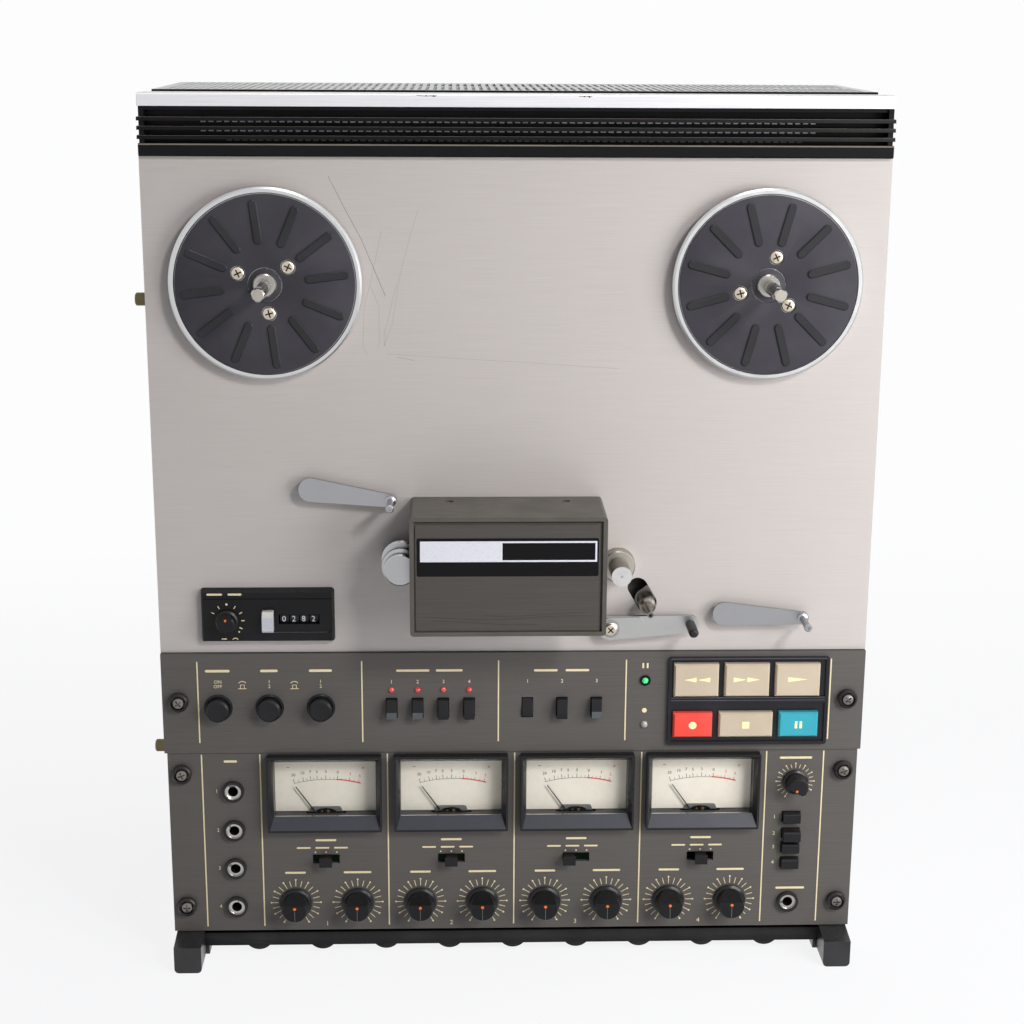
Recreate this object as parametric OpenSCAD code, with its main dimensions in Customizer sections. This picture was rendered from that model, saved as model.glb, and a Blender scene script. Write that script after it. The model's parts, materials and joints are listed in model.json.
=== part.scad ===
// Four-channel reel-to-reel tape recorder with separate meters and level knobs.
// It is drawn about the middle of its front panel: X to the right, Y into the case
// with 0 on the face of the deck panel, and Z up from the table. place() then moves
// every piece so that the origin lies under the middle of the whole outline.

/* [Case] */
// Width of the deck panel
deck_w = 445; // [438:1:460]
// Overhang of the deck panel past the case, each side
case_margin = 2.5; // [1.5:0.5:5]
// Depth of the case behind the front panels
case_depth = 200; // [190:1:230]
// Sheet thickness of the case
case_wall = 1.2; // [0.8:0.1:1.6]
// Height of the lower edge of the front panels above the table
panel_lift = 21; // [18:0.5:26]
// Height of the case floor above the table
floor_lift = 6.5; // [5:0.5:9]
// Setback of the lower front edge of the case
lip_setback = 6; // [4:0.5:9]
// Length of the raised vent field on top, front to back
vent_depth = 125; // [90:1:130]
// Rise of the vent field over the top of the case
vent_rise = 2; // [1:0.5:3]
// Number of vent slots
vent_count = 90; // [20:1:90]
// Width of a vent slot
vent_slot = 2.2; // [1.5:0.1:2.8]
// Number of louvres in the floor
louvre_count = 9; // [5:1:9]
// Distance between louvres in the floor
louvre_pitch = 41.8; // [30:0.2:42]
// Width of a louvre in the floor
louvre_w = 14; // [10:0.5:18]
// Drop of a louvre below the floor
louvre_drop = 3; // [2:0.5:4]

/* [Front panels] */
// Thickness of the front panels
panel_t = 2.5; // [2:0.5:3]
// Gap between neighbouring panels
panel_gap = 0.4; // [0.2:0.1:1]
// Height of the amplifier panel
amp_h = 124.3; // [122:0.5:132]
// Inset of the amplifier panel from the deck panel's ends
amp_inset = 1.5; // [0:0.5:3]
// Step of the amplifier panel in front of the deck panel
amp_step = 1; // [0.5:0.5:2]
// Height of the transport panel
trans_h = 66.4; // [64:0.2:74]
// Step of the transport panel in front of the deck panel
trans_step = 2.5; // [1.5:0.5:4]
// Height of the deck panel
deck_h = 306.8; // [304:0.5:320]
// Height of the louvred moulding above the deck panel
louvre_h = 28.6; // [24:0.5:34]
// Height of the bright strip along the top
trim_h = 9.3; // [7:0.5:12]
// Depth of the bright strip
trim_d = 24; // [16:1:30]

/* [Reels] */
// Distance of the reel centres from the ends of the deck panel
reel_inset = 72.5; // [71:0.5:78]
// Distance of the reel centres below the top edge of the deck panel
reel_drop = 74.4; // [70:0.2:80]
// Diameter of a reel table
table_d = 114.8; // [108:0.4:118]
// Distance of the reel table's rim in front of the deck panel
table_front = 8; // [7:0.5:10]
// Diameter of the rubber mat
mat_d = 106.8; // [98:0.4:107]
// Number of ribs on the mat
rib_count = 12; // [6:1:12]
// Width of a rib
rib_w = 5; // [3:0.5:6]
// Diameter of the spindle's chrome collar
collar_d = 16.6; // [14:0.2:20]
// Diameter over the spindle's splines
spindle_d = 8.4; // [7.4:0.1:9]
// Distance of the spindle's tip in front of the deck panel
spindle_tip = 52; // [46:1:60]
// Length of the locking tip
lock_len = 8; // [6:0.5:11]
// Diameter of the motor shafts behind the reel tables
reel_shaft_d = 8; // [6:0.5:10]
// Length of a reel motor
reel_motor_len = 62; // [50:1:80]
// Diameter of a reel motor
reel_motor_d = 84; // [70:1:90]

/* [Tape path] */
// Length of a tension arm between its centres
arm_len = 49.3; // [44:0.5:54]
// Radius of a tension arm's pivot end
arm_r = 7.4; // [6:0.2:9]
// Radius of a tension arm's pin end
arm_tip_r = 4; // [3.4:0.2:5]
// Thickness of the arms
arm_t = 2.5; // [2:0.1:3]
// Gap between the arms and the deck panel
arm_gap = 4.5; // [3.6:0.1:6]
// Distance of the guide pins' tips in front of the deck panel
pin_tip = 27; // [22:1:32]
// Diameter of the guide pins
pin_d = 5; // [3.6:0.2:6]
// Radius of the tape roller's rear flange
roller_r = 12; // [10:0.2:12.6]
// Radius of the tape roller's front cap
roller_cap_r = 10; // [8:0.2:10.8]
// Distance of the tape roller's cap in front of the deck panel
roller_front = 33; // [28:1:36]
// Diameter of the capstan shaft
capstan_d = 12.4; // [10:0.2:13]
// Distance of the capstan's tip in front of the deck panel
capstan_tip = 28; // [24:1:34]
// Diameter of the capstan's bearing housing
bearing_d = 20.6; // [18:0.2:22]
// Diameter of the capstan's rotor
rotor_d = 60; // [50:1:66]
// Length of the capstan motor
capstan_motor_len = 48; // [40:1:60]
// Running clearance of shafts in their bores
run_gap = 0.05; // [0.02:0.01:0.09]

/* [Head cover] */
// Width of the head cover
cover_w = 118; // [112:0.5:122]
// Height of the head cover
cover_h = 74; // [70:0.5:78]
// Depth of the head cover
cover_d = 50; // [44:0.5:56]
// Wall of the head cover
cover_wall = 1.6; // [1.2:0.1:2.4]
// Width of the rim around the inset plate
cover_rim = 2.6; // [2:0.2:4]
// Width of a tape head
head_w = 14; // [11:0.5:16]
// Height of a tape head
head_h = 21; // [17:0.5:24]

/* [Controls] */
// Width of the field at each end of the amplifier panel, beside the channels
end_field = 60.5; // [60:0.5:64]
// Gap between neighbouring meter frames
meter_gap = 8; // [5:0.5:12]
// Height of a meter's frame
meter_h = 51.5; // [49:0.5:53]
// Distance of the meter frames in front of their panel
meter_proud = 6.5; // [4:0.5:9]
// Length of a meter's needle
needle_len = 33; // [28:0.5:34]
// Diameter of a level knob's skirt
knob_d = 20.5; // [17:0.5:22]
// Length of a level knob
knob_len = 13.5; // [10:0.5:18]
// Distance between the two level knobs of a channel
knob_pitch = 40.2; // [32:0.2:44]
// Diameter of the monitor knob's skirt
monitor_d = 16.2; // [14:0.2:19]
// Diameter of the pitch knob's skirt
pitch_d = 14.2; // [11:0.2:16]
// Diameter of a round push button
button_d = 14.6; // [11:0.2:15.2]
// Distance of a round push button in front of its panel
button_proud = 8; // [5:0.5:9]
// Width of the small keys
key_w = 6.6; // [5:0.2:8]
// Height of the small keys
key_h = 12.8; // [10:0.2:15]
// Distance of the small keys in front of their panel
key_proud = 6.5; // [5:0.5:8]
// Distance of the transport keys in front of their panel
transport_proud = 5; // [4:0.5:7]
// Play around every key and lever in its opening
key_play = 0.4; // [0.3:0.05:0.6]
// Diameter of a front jack's bore
jack_bore = 6.5; // [6.4:0.05:6.8]
// Diameter of a panel screw's head
screw_d = 12.4; // [10:0.2:14]

/* [Hidden] */
$fn = 48;
// Overlap of joined shapes, and gap of a piece that rests against another
eps = 0.01;
seat = 0.05;

// Heights of the front panels' edges
amp_z0 = panel_lift;
amp_z1 = amp_z0 + amp_h;
trans_z0 = amp_z1 + panel_gap;
trans_z1 = trans_z0 + trans_h;
deck_z0 = trans_z1 + panel_gap;
deck_z1 = deck_z0 + deck_h;
louvre_z0 = deck_z1 + 0.1;
louvre_z1 = louvre_z0 + louvre_h;
trim_z1 = louvre_z1 + trim_h;

// Ends of the deck panel
left_end = -deck_w / 2;
right_end = deck_w / 2;
amp_w = deck_w - 2 * amp_inset;

// The case behind the panels
case_w = deck_w - 2 * case_margin;
case_y0 = panel_t;
case_y1 = case_y0 + case_depth;
case_z0 = floor_lift;
case_z1 = trim_z1 - vent_rise - 0.6;
case_in = case_w / 2 - case_wall;
stud_out = 10.5;
stud_r = 4;
stud_y = 15;
stud_z = [144.4, 433];

// The outline that the origin is centred under
connector_out = 10;
x_min = -(case_w / 2 + stud_out);
x_max = deck_w / 2;
y_min = -spindle_tip;
y_max = case_y1 + connector_out;
shift_x = -(x_min + x_max) / 2;
shift_y = -(y_min + y_max) / 2;

// Reels
reel_x = right_end - reel_inset;
reel_z = deck_z1 - reel_drop;
table_back = 2.5;
mat_t = 1.8;
mat_front = table_front + 1;
rib_rise = 1;
rib_r0 = 24;
rib_r1 = mat_d / 2 - 3;
rib_phase = [8, 15];
screw_ring = 17.3;
screw_hole_r = 4.6;
hub_hole_r = 14;
screw_angles = [[157, 36, -83], [76, 197, -45]];
collar_front = mat_front + 3.4;
lock_y = spindle_tip - lock_len;
// The splines stay a little inside the plain part of the spindle
spline_r = spindle_d / 2 - 0.2;
spline_rise = 0.5;
spline_w = 3;
chassis_t = 2;
chassis_y = panel_t + 0.1;
motor_y = chassis_y + chassis_t;
reel_shaft_end = motor_y + reel_motor_len - 6;

// Tape path, placed from the deck panel's lower edge
arm_pivot = [[-125.9, deck_z0 + 106.6], [131, deck_z0 + 25.9]];
arm_angle = [-8.3, -3.5];
arm_front = arm_gap + arm_t;
arm_boss_r = 4;
arm_shaft_r = 2;
cue_shaft_r = 2.5;
pinch_shaft_r = 2.5;
shaft_tail = chassis_y + chassis_t + 8;
roller_at = [-71, deck_z0 + 62.9];
capstan_at = [64, deck_z0 + 56.9];
slot_low = [82.6, deck_z0 + 31.5];
slot_high = [76.7, deck_z0 + 41.5];
slot_r = 6.3;
post_r = 5.2;
post_at = [82.1, deck_z0 + 32.3];
pinch_pivot = [127.2, deck_z0 + 64.1];
pinch_r = 6.4;
pinch_sweep_r = 10;
pinch_t = 3;
pinch_y = motor_y + 1.4;
cue_at = [59.4, deck_z0 + 16.8];
cue_end = [109.6, deck_z0 + 19.4];
cue_pivot_r = 7.8;

// Head cover and heads
cover_x = -5.9;
cover_z = deck_z0 + 26.4;
tape_z = roller_at[1] - 10;
head_xs = [-35, -5, 25];
guide_xs = [-49, -20, 10, 40];
head_front = 24;
post_xs = [cover_x - 35.2, cover_x + 36.1];
post_y = 11;
cover_post_r = 3.2;

// Counter box
counter_x = left_end + 68;
counter_z = deck_z0 + 25;
counter_w = 83;
counter_h = 35;
counter_proud = 5;
counter_body_d = 30;
wheel_x0 = counter_x + 7.3;
wheel_count = 4;
wheel_w = 5.4;
wheel_gap = 0.7;
wheel_r = 7;
wheel_shaft_r = 1.5;
wheel_y = 4.6;
wheel_z = counter_z - 2.2;
pitch_at = [counter_x - 25.2, counter_z - 2.6];
pitch_turn = -14;
pitch_len = 9.5;
reset_at = [counter_x + 0.3, counter_z - 2.8];
reset_proud = 5;
reset_w = 7;
reset_h = 13.4;

// Transport controls, placed from the transport panel's lower edge
button_z = trans_z0 + 30.6;
button_xs = [left_end + 35.3, left_end + 67.6, left_end + 99.9];
ring_rise = 2;
small_key_z = trans_z0 + 29.8;
function_xs = [-78, -61.6, -45.3, -29];
output_xs = [8, 29.9, 51.8];
// How far each small key is pushed in
function_in = [0, 0, 0, 0];
output_in = [4.8, 0, 0];
bezel_x = right_end - 74.1;
bezel_z = trans_z0 + 33.8;
bezel_w = 102;
bezel_h = 58.8;
bezel_t = 2.4;
bezel_rim = 2;
bezel_sunk = 1.4;
upper_z = trans_z0 + 48.6;
upper_h = 21.6;
upper_xs = [bezel_x - 33.7, bezel_x - 1.5, bezel_x + 30.7];
upper_w = 28.4;
lower_z = trans_z0 + 18.6;
lower_h = 16.4;
lower_xs = [bezel_x - 35.3, bezel_x - 1.4, bezel_x + 32.3];
lower_ws = [25, 34.4, 25];
key_depth = 9;

// Amplifier controls, placed from the amplifier panel's lower edge
channel_pitch = (deck_w - 2 * end_field) / 4;
channel_x0 = -1.5 * channel_pitch;
meter_w = channel_pitch - meter_gap;
needle_z = amp_z0 + 71.3;
needle_rest = 35;
meter_z = needle_z + 25.9;
window_w = meter_w - 7.6;
window_h = meter_h - 13.9;
window_z = meter_z + 2.2;
meter_body_w = meter_w - 5;
meter_body_h = meter_h - 7.5;
meter_body_z = meter_z + 0.4;
hub_room = 13;
meter_bore_y1 = 16;
meter_back_z0 = needle_z - 4.6;
meter_back_z1 = meter_body_z + meter_body_h / 2;
meter_body_d = 26;
scale_y = 6;
scale_t = 0.8;
needle_t = 0.6;
needle_hub_r = 2;
needle_pivot_r = 0.8;
knob_z = amp_z0 + 19.5;
knob_shaft_r = 3;
knob_shaft_end = 12;
lever_z = amp_z0 + 50.2;
lever_slot_w = 17.4;
lever_slot_h = 6.2;
lever_w = 7;
lever_proud = 7;
lever_x = [0, 0, -4.6, 0];
monitor_x = right_end - 42.5;
monitor_turn = 210;
monitor_key_proud = 4.5;
monitor_knob_at = [monitor_x + 1.6, amp_z0 + 102];
monitor_key_zs = [77.4, 65.8, 56.2, 45.3];
monitor_key_out = [0, 3, 0, 0];
monitor_key_w = 11.4;
monitor_key_h = 7;
jack_x = left_end + 42.5;
jack_zs = [98, 71, 44.4, 17.4];
phones_z = 17.6;
jack_nut_r = 6.8;
jack_barrel_r = 4.9;

// Panel screws
screw_x = amp_w / 2 - 9;
screw_bore_r = 2.2;
screw_head_r = 4;
cup_h = 4.4;
screw_zs = [amp_z0 + 18.4, amp_z0 + 110.4, trans_z0 + 35];

function channel_x(i) = channel_x0 + i * channel_pitch;

// The front view of a rectangle about a place
module cell(at, w, h) {
    translate(at) square([w, h], center = true);
}

// Moves a piece from the panel's frame to the frame of the whole recorder
module place() {
    translate([shift_x, shift_y, 0]) children();
}

// A block between two corners
module block(x0, x1, y0, y1, z0, z1) {
    translate([x0, y0, z0]) cube([x1 - x0, y1 - y0, z1 - z0]);
}

// A flat shape drawn as seen from the front, from y0 back to y1
module plate(y0, y1) {
    translate([0, y1, 0]) rotate([90, 0, 0]) linear_extrude(y1 - y0) children();
}

// A turned shape about an axis that faces the viewer: its profile is [radius, distance forward of y]
module turned(x, y, z) {
    translate([x, y, z]) rotate([90, 0, 0]) rotate_extrude() children();
}

// A round rod that faces the viewer, from y0 back to y1
module rod(x, z, y0, y1, r) {
    translate([x, y1, z]) rotate([90, 0, 0]) cylinder(h = y1 - y0, r = r);
}

// A profile in Y and Z, run along X
module along_x(x0, x1) {
    translate([x0, 0, 0]) rotate([90, 0, 90]) linear_extrude(x1 - x0) children();
}

// A rectangle with round corners, about its middle
module rounded(w, h, r) {
    square([w - 2 * r, h], center = true);
    square([w, h - 2 * r], center = true);
    for (sx = [-1, 1], sz = [-1, 1]) {
        translate([sx * (w / 2 - r), sz * (h / 2 - r)]) circle(r);
    }
}

// Two circles joined by their outer tangents, which end just inside both circles
module link(a, b, ra, rb) {
    d = norm(b - a);
    dir = atan2(b[1] - a[1], b[0] - a[0]);
    lean = acos((ra - rb) / d);
    sunk = 0.02;
    translate(a) circle(ra);
    translate(b) circle(rb);
    polygon([
        a + (ra - sunk) * [cos(dir + lean), sin(dir + lean)],
        a + (ra - sunk) * [cos(dir - lean), sin(dir - lean)],
        b + (rb - sunk) * [cos(dir - lean), sin(dir - lean)],
        b + (rb - sunk) * [cos(dir + lean), sin(dir + lean)]
    ]);
}

// A solid whose front view is one rectangle at y0 and another at y1, both about the same X
module taper(x, y0, y1, w0, w1, z00, z01, z10, z11) {
    intersection() {
        along_x(x - 400, x + 400) polygon([[y0, z00], [y0, z01], [y1, z11], [y1, z10]]);
        linear_extrude(800) polygon([
            [x - w0 / 2, y0], [x + w0 / 2, y0], [x + w1 / 2, y1], [x - w1 / 2, y1]
        ]);
    }
}

// Folded sheet-steel case with a raised vent field, a louvred floor and two side studs
module case() color("#8e8b86") place() difference() {
    union() {
        difference() {
            block(-case_w / 2, case_w / 2, case_y0 + 0.2, case_y1, case_z0, case_z1);
            block(-case_in, case_in, -1, case_y1 + 1, case_z0 + case_wall, case_z1 - case_wall);
            block(-case_in, case_in, -1, lip_setback, case_z0 - 1, case_z1 - 30);
        }
        block(-case_in - eps, case_in + eps, lip_setback, lip_setback + case_wall, case_z0, case_z0 + 9);
        vent_field();
        for (i = [0 : louvre_count - 1]) {
            translate([(i - (louvre_count - 1) / 2) * louvre_pitch, 0, 0]) floor_louvre();
        }
        for (z = stud_z) {
            translate([-case_w / 2 + eps, stud_y, z]) rotate([0, -90, 0]) side_stud();
        }
    }
    // The vent field is pressed up out of the sheet
    block(-vent_x, vent_x, vent_y0 + 3, vent_y0 + vent_depth - 3,
        case_z1 - case_wall - 1, case_z1 + vent_rise - 1);
    for (i = [0 : vent_count - 1]) {
        x = (i - (vent_count - 1) / 2) * vent_step;
        for (k = [0, 1]) {
            y = vent_y0 + 6 + k * (vent_depth - 8) / 2;
            block(x - vent_slot / 2, x + vent_slot / 2, y, y + (vent_depth - 16) / 2,
                case_z1 - 4, trim_z1 + 2);
        }
    }
}

vent_y0 = trim_d + 1.5;
vent_x = case_w / 2 - 6;
vent_step = (2 * vent_x - 6) / vent_count;

// Raised field of the top with the vent slots in it
module vent_field() {
    taper(0, vent_y0, vent_y0 + vent_depth, 2 * vent_x + 6, 2 * vent_x + 6,
        case_z1 - eps, case_z1 + vent_rise, case_z1 - eps, case_z1 + vent_rise);
}

// Long pressed louvre that hangs below the floor
module floor_louvre() {
    dome = (louvre_w * louvre_w / 4 + louvre_drop * louvre_drop) / (2 * louvre_drop);
    translate([0, lip_setback, case_z0 - louvre_drop + dome]) rotate([-90, 0, 0]) {
        intersection() {
            cylinder(h = 120, r = dome);
            translate([-louvre_w, dome - louvre_drop - eps, 0]) cube([2 * louvre_w, dome, 120]);
        }
    }
}

// Plated stud on the side of the case
module side_stud() {
    rotate_extrude() polygon([
        [0, 0], [stud_r - 1.2, 0], [stud_r - 1.2, 2], [stud_r, 2], [stud_r, stud_out - 0.8],
        [stud_r - 0.8, stud_out], [0, stud_out]
    ]);
}

// Rear panel with the openings for the connectors and two rows of vents
module back_panel() color("#3b3a39") place() {
    plate(case_y1 - 1.5, case_y1) difference() {
        cell([0, (case_z0 + case_z1) / 2], 2 * case_in - 0.6, case_z1 - case_z0 - 2 * case_wall - 0.6);
        for (x = phono_xs, z = phono_zs) {
            translate([x, z]) circle(phono_hole_r);
        }
        cell([inlet_x, inlet_z], inlet_w + 0.6, inlet_h + 0.6);
        translate([remote_x, inlet_z]) circle(remote_r + 0.3);
        for (i = [0 : rear_slots - 1], z = rear_slot_zs) {
            cell([(i - (rear_slots - 1) / 2) * rear_slot_pitch, z], rear_slot_w, rear_slot_h);
        }
    }
}

rear_slots = 20;
rear_slot_pitch = 15;
rear_slot_w = 5;
rear_slot_h = 60;
rear_slot_zs = [case_z1 - 224.7, case_z1 - 114.7];
phono_xs = [-60, -40, -20, 0];
phono_r = 4.15;
phono_hole_r = 4.6;
phono_bore_r = 1.7;
phono_flange_r = 6;
inlet_x = case_in - 68.8;
inlet_z = case_z0 + 59.5;
phono_zs = [inlet_z - 6, inlet_z + 18];
inlet_w = 24;
inlet_h = 16;
inlet_deep = 14;
remote_x = inlet_x - 80;
remote_r = 9;

// Brushed deck panel with the openings of the reels and the tape path
module deck_panel() color("#b5afa9") place() {
    plate(0, panel_t) difference() {
        translate([-deck_w / 2, deck_z0]) square([deck_w, deck_h]);
        for (s = [-1, 1]) {
            translate([s * reel_x, reel_z]) circle(hub_hole_r);
        }
        for (p = arm_pivot) {
            translate(p) circle(arm_boss_r + 0.2);
        }
        translate(roller_at) circle(arm_boss_r + 0.2);
        translate(capstan_at) circle(bearing_d / 2 + 0.2);
        link(slot_low, slot_high, slot_r, slot_r);
        translate(cue_at) circle(cue_shaft_r + 0.9);
        cell([counter_x, counter_z], counter_w - 5, counter_h - 5);
    }
}

// A panel's plate with edges folded back to the chassis
module folded_panel(w, z0, z1, step) {
    plate(-step, panel_t - step) difference() {
        translate([-w / 2, z0]) square([w, z1 - z0]);
        children();
    }
    difference() {
        block(-w / 2, w / 2, panel_t - step - eps, panel_t, z0, z1);
        block(-w / 2 + 2, w / 2 - 2, panel_t - step - 1, panel_t + 1, z0 + 2, z1 - 2);
    }
}

// Panel that carries the push buttons, the small keys and the transport keys
module transport_panel() color("#56524e") place() {
    folded_panel(deck_w, trans_z0, trans_z1, trans_step) {
        for (x = button_xs) {
            translate([x, button_z]) circle(button_d / 2 + key_play);
        }
        for (x = concat(function_xs, output_xs)) {
            cell([x, small_key_z], key_w + 2 * key_play, key_h + 2 * key_play);
        }
        transport_openings();
        for (s = [-1, 1]) {
            translate([s * screw_x, screw_zs[2]]) circle(screw_bore_r);
        }
    }
}

// Openings of the six transport keys
module transport_openings() {
    for (i = [0 : 2]) {
        cell([upper_xs[i], upper_z], upper_w + 2 * key_play, upper_h + 2 * key_play);
        cell([lower_xs[i], lower_z], lower_ws[i] + 2 * key_play, lower_h + 2 * key_play);
    }
}

// Panel that carries the jacks, the meters and the level controls
module amplifier_panel() color("#56524e") place() {
    folded_panel(amp_w, amp_z0, amp_z1, amp_step) {
        for (z = jack_zs) {
            translate([jack_x, amp_z0 + z]) circle(jack_barrel_r + 0.1);
        }
        translate([monitor_x, amp_z0 + phones_z]) circle(jack_barrel_r + 0.1);
        translate(monitor_knob_at) circle(knob_shaft_r + run_gap);
        for (z = monitor_key_zs) {
            cell([monitor_x, amp_z0 + z], monitor_key_w + 2 * key_play, monitor_key_h + 2 * key_play);
        }
        for (i = [0 : 3]) {
            cell([channel_x(i), meter_body_z], meter_body_w + 0.4, meter_body_h + 0.4);
            cell([channel_x(i), lever_z], lever_slot_w, lever_slot_h);
            for (s = [-1, 1]) {
                translate([channel_x(i) + s * knob_pitch / 2, knob_z]) circle(knob_shaft_r + run_gap);
            }
        }
        for (s = [-1, 1], k = [0, 1]) {
            translate([s * screw_x, screw_zs[k]]) circle(screw_bore_r);
        }
    }
}

// Black moulding with three fins and a deeper band, between the deck panel and the top strip
module top_louvre() color("#1d1c1d") place() difference() {
    w = deck_w / 2 - 1;
    fin_y = -4;
    back_y = 7;
    louvre_fins(w, fin_y, back_y);
    // The case sides stand beside the moulding
    for (s = [-1, 1]) {
        translate([s * (case_in + 6 - 0.3), 0, 0]) {
            block(-6, 6, case_y0, back_y + 3, louvre_z0 - 1, louvre_z1 + 1);
        }
    }
}

// Band at the bottom, three fins above it and the web that holds them
module louvre_fins(w, fin_y, back_y) {
    band_h = 0.26 * louvre_h;
    fin_step = (louvre_h - band_h) / 4;
    block(-w + 2, w - 2, back_y, back_y + 2, louvre_z0, louvre_z1);
    along_x(-w - 0.5, w + 0.5) polygon([
        [fin_y + 1, louvre_z0], [back_y + eps, louvre_z0], [back_y + eps, louvre_z0 + band_h],
        [fin_y + 0.6, louvre_z0 + band_h], [fin_y, louvre_z0 + band_h - 0.8], [fin_y, louvre_z0 + 1]
    ]);
    for (i = [1 : 3]) {
        z = louvre_z0 + band_h + (i - 0.12) * fin_step;
        along_x(-w - 1, w + 1) polygon([
            [fin_y, z - 2.2], [fin_y + 1.4, z - 2.2], [back_y + eps, z - 1], [back_y + eps, z],
            [fin_y + 0.6, z]
        ]);
    }
    block(-w, w, fin_y + 3, back_y + eps, louvre_z1 - 2, louvre_z1);
    for (s = [-1, 1]) {
        block(s * (w - 1.8) - 1.5, s * (w - 1.8) + 1.5, fin_y + 1, back_y + eps, louvre_z0, louvre_z1);
    }
}

// Bright extruded strip along the top edge, with a dark gasket behind its crown
module top_trim() color("#cfcdca") place() {
    w = deck_w / 2 - 0.5;
    z0 = louvre_z1;
    along_x(-w, w) polygon([
        [-3, z0 + 0.2], [-3, trim_z1 - 2.2], [-2, trim_z1 - 1.5], [trim_d, trim_z1],
        [trim_d, case_z1 + 0.1], [panel_t - 0.5, case_z1 + 0.1], [panel_t - 0.5, z0 + 0.2]
    ]);
}

// Two moulded feet that run under the case and reach out in front of it
module feet() color("#1c1b1c") place() for (s = [-1, 1]) {
    foot_x = s * (case_w / 2 - foot_w / 2 - 0.4);
    foot_back = case_y0 - 0.1;
    foot_top = case_z0 - 0.1;
    intersection() {
        along_x(foot_x - foot_w / 2, foot_x + foot_w / 2) polygon([
            [-foot_reach, 0], [foot_bar_y1, 0], [foot_bar_y1 + 4, 2.5], [case_y1 - 50, 2.5],
            [case_y1 - 46, 0], [case_y1 - 10, 0], [case_y1 - 10, foot_top],
            [foot_back, foot_top], [foot_back, amp_z0 - 0.3], [2, amp_z0 - 0.3],
            [-foot_reach, amp_z0 - 3.2]
        ]);
        plate(-foot_reach - 1, case_y1) translate([foot_x, foot_shape_h / 2]) rounded(foot_w, foot_shape_h, 3);
    }
    inner = s * (case_w / 2 - foot_w - 2.4);
    block(min(foot_x, inner), max(foot_x, inner), lip_setback + 1, foot_bar_y1, 0, foot_top);
}
foot_w = 17.6;
foot_reach = 19;
foot_bar_y1 = lip_setback + 14;
foot_shape_h = 25;

// Cross-head screws that hold the two lower panels, each in a turned cup washer
module panel_screws() color("#262425") place() {
    cup_r = screw_d / 2;
    floor_h = cup_h / 2;
    for (s = [-1, 1], k = [0 : 2]) {
        y = k == 2 ? -trans_step : -amp_step;
        turned(s * screw_x, y, screw_zs[k]) polygon([
            [screw_bore_r, seat], [cup_r - 0.8, seat], [cup_r, 0.8], [cup_r, cup_h - 1],
            [cup_r - 1, cup_h], [cup_r - 1.7, cup_h], [screw_head_r + 0.3, floor_h],
            [screw_bore_r, floor_h]
        ]);
        difference() {
            turned(s * screw_x, y, screw_zs[k]) polygon([
                [0, -7], [screw_bore_r - 0.3, -7], [screw_bore_r - 0.3, floor_h + seat],
                [screw_head_r, floor_h + seat], [screw_head_r, floor_h + 1],
                [screw_head_r - 0.8, cup_h], [1.6, cup_h + 0.5], [0, cup_h + 0.6]
            ]);
            for (a = [0, 90]) {
                plate(y - cup_h - 1, y - cup_h + 1) {
                    translate([s * screw_x, screw_zs[k]]) rotate(a + 20 * k) cell([0, 0], 4.6, 0.9);
                }
            }
        }
    }
}

// Steel frame behind the panels, with side rails, a shelf and the motor plate
module inner_chassis() color("#a7a49a") place() {
    w = case_in - 0.3;
    z1 = case_z1 - case_wall - 0.3;
    plate(chassis_y, chassis_y + chassis_t) difference() {
        translate([-w, deck_z0 - 4]) square([2 * w, z1 - deck_z0 + 4 - 38]);
        for (s = [-1, 1]) {
            translate([s * reel_x, reel_z]) circle(hub_hole_r);
        }
        for (p = concat(arm_pivot, [roller_at])) {
            translate(p) circle(arm_shaft_r + run_gap);
        }
        translate(pinch_pivot) circle(pinch_shaft_r + run_gap);
        translate(capstan_at) circle(bearing_d / 2 + 0.2);
        translate((slot_low + slot_high) / 2 + [0.35, 0.5]) circle(16);
        translate(cue_at) circle(cue_shaft_r + run_gap);
        cell([counter_x, counter_z], counter_w - 4, counter_h - 4);
    }
    // Side rails with turned-in edges, and two bars that tie them behind the lower panels
    for (s = [-1, 1]) {
        x0 = min(s * w, s * (w - chassis_t));
        x1 = max(s * w, s * (w - chassis_t));
        for (z = [case_z0 + case_wall + 8, deck_z0 - 20, z1 - 60]) {
            block(x0, x1, chassis_y, case_y1 - 2, z, z + rail_h);
        }
        block(x0, x1, chassis_y, chassis_y + 14, amp_z0 + 4, z1 - 44);
    }
    for (z = [amp_z0 + 3.2, amp_z1 - 1.6]) {
        block(-w, w, chassis_y, chassis_y + chassis_t, z, z + 3);
    }
    // Shelf for the circuit boards
    block(-w, w, 46, case_y1 - 4, shelf_z - chassis_t, shelf_z);
}
rail_h = 16;
shelf_z = deck_z0 - 12;

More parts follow.
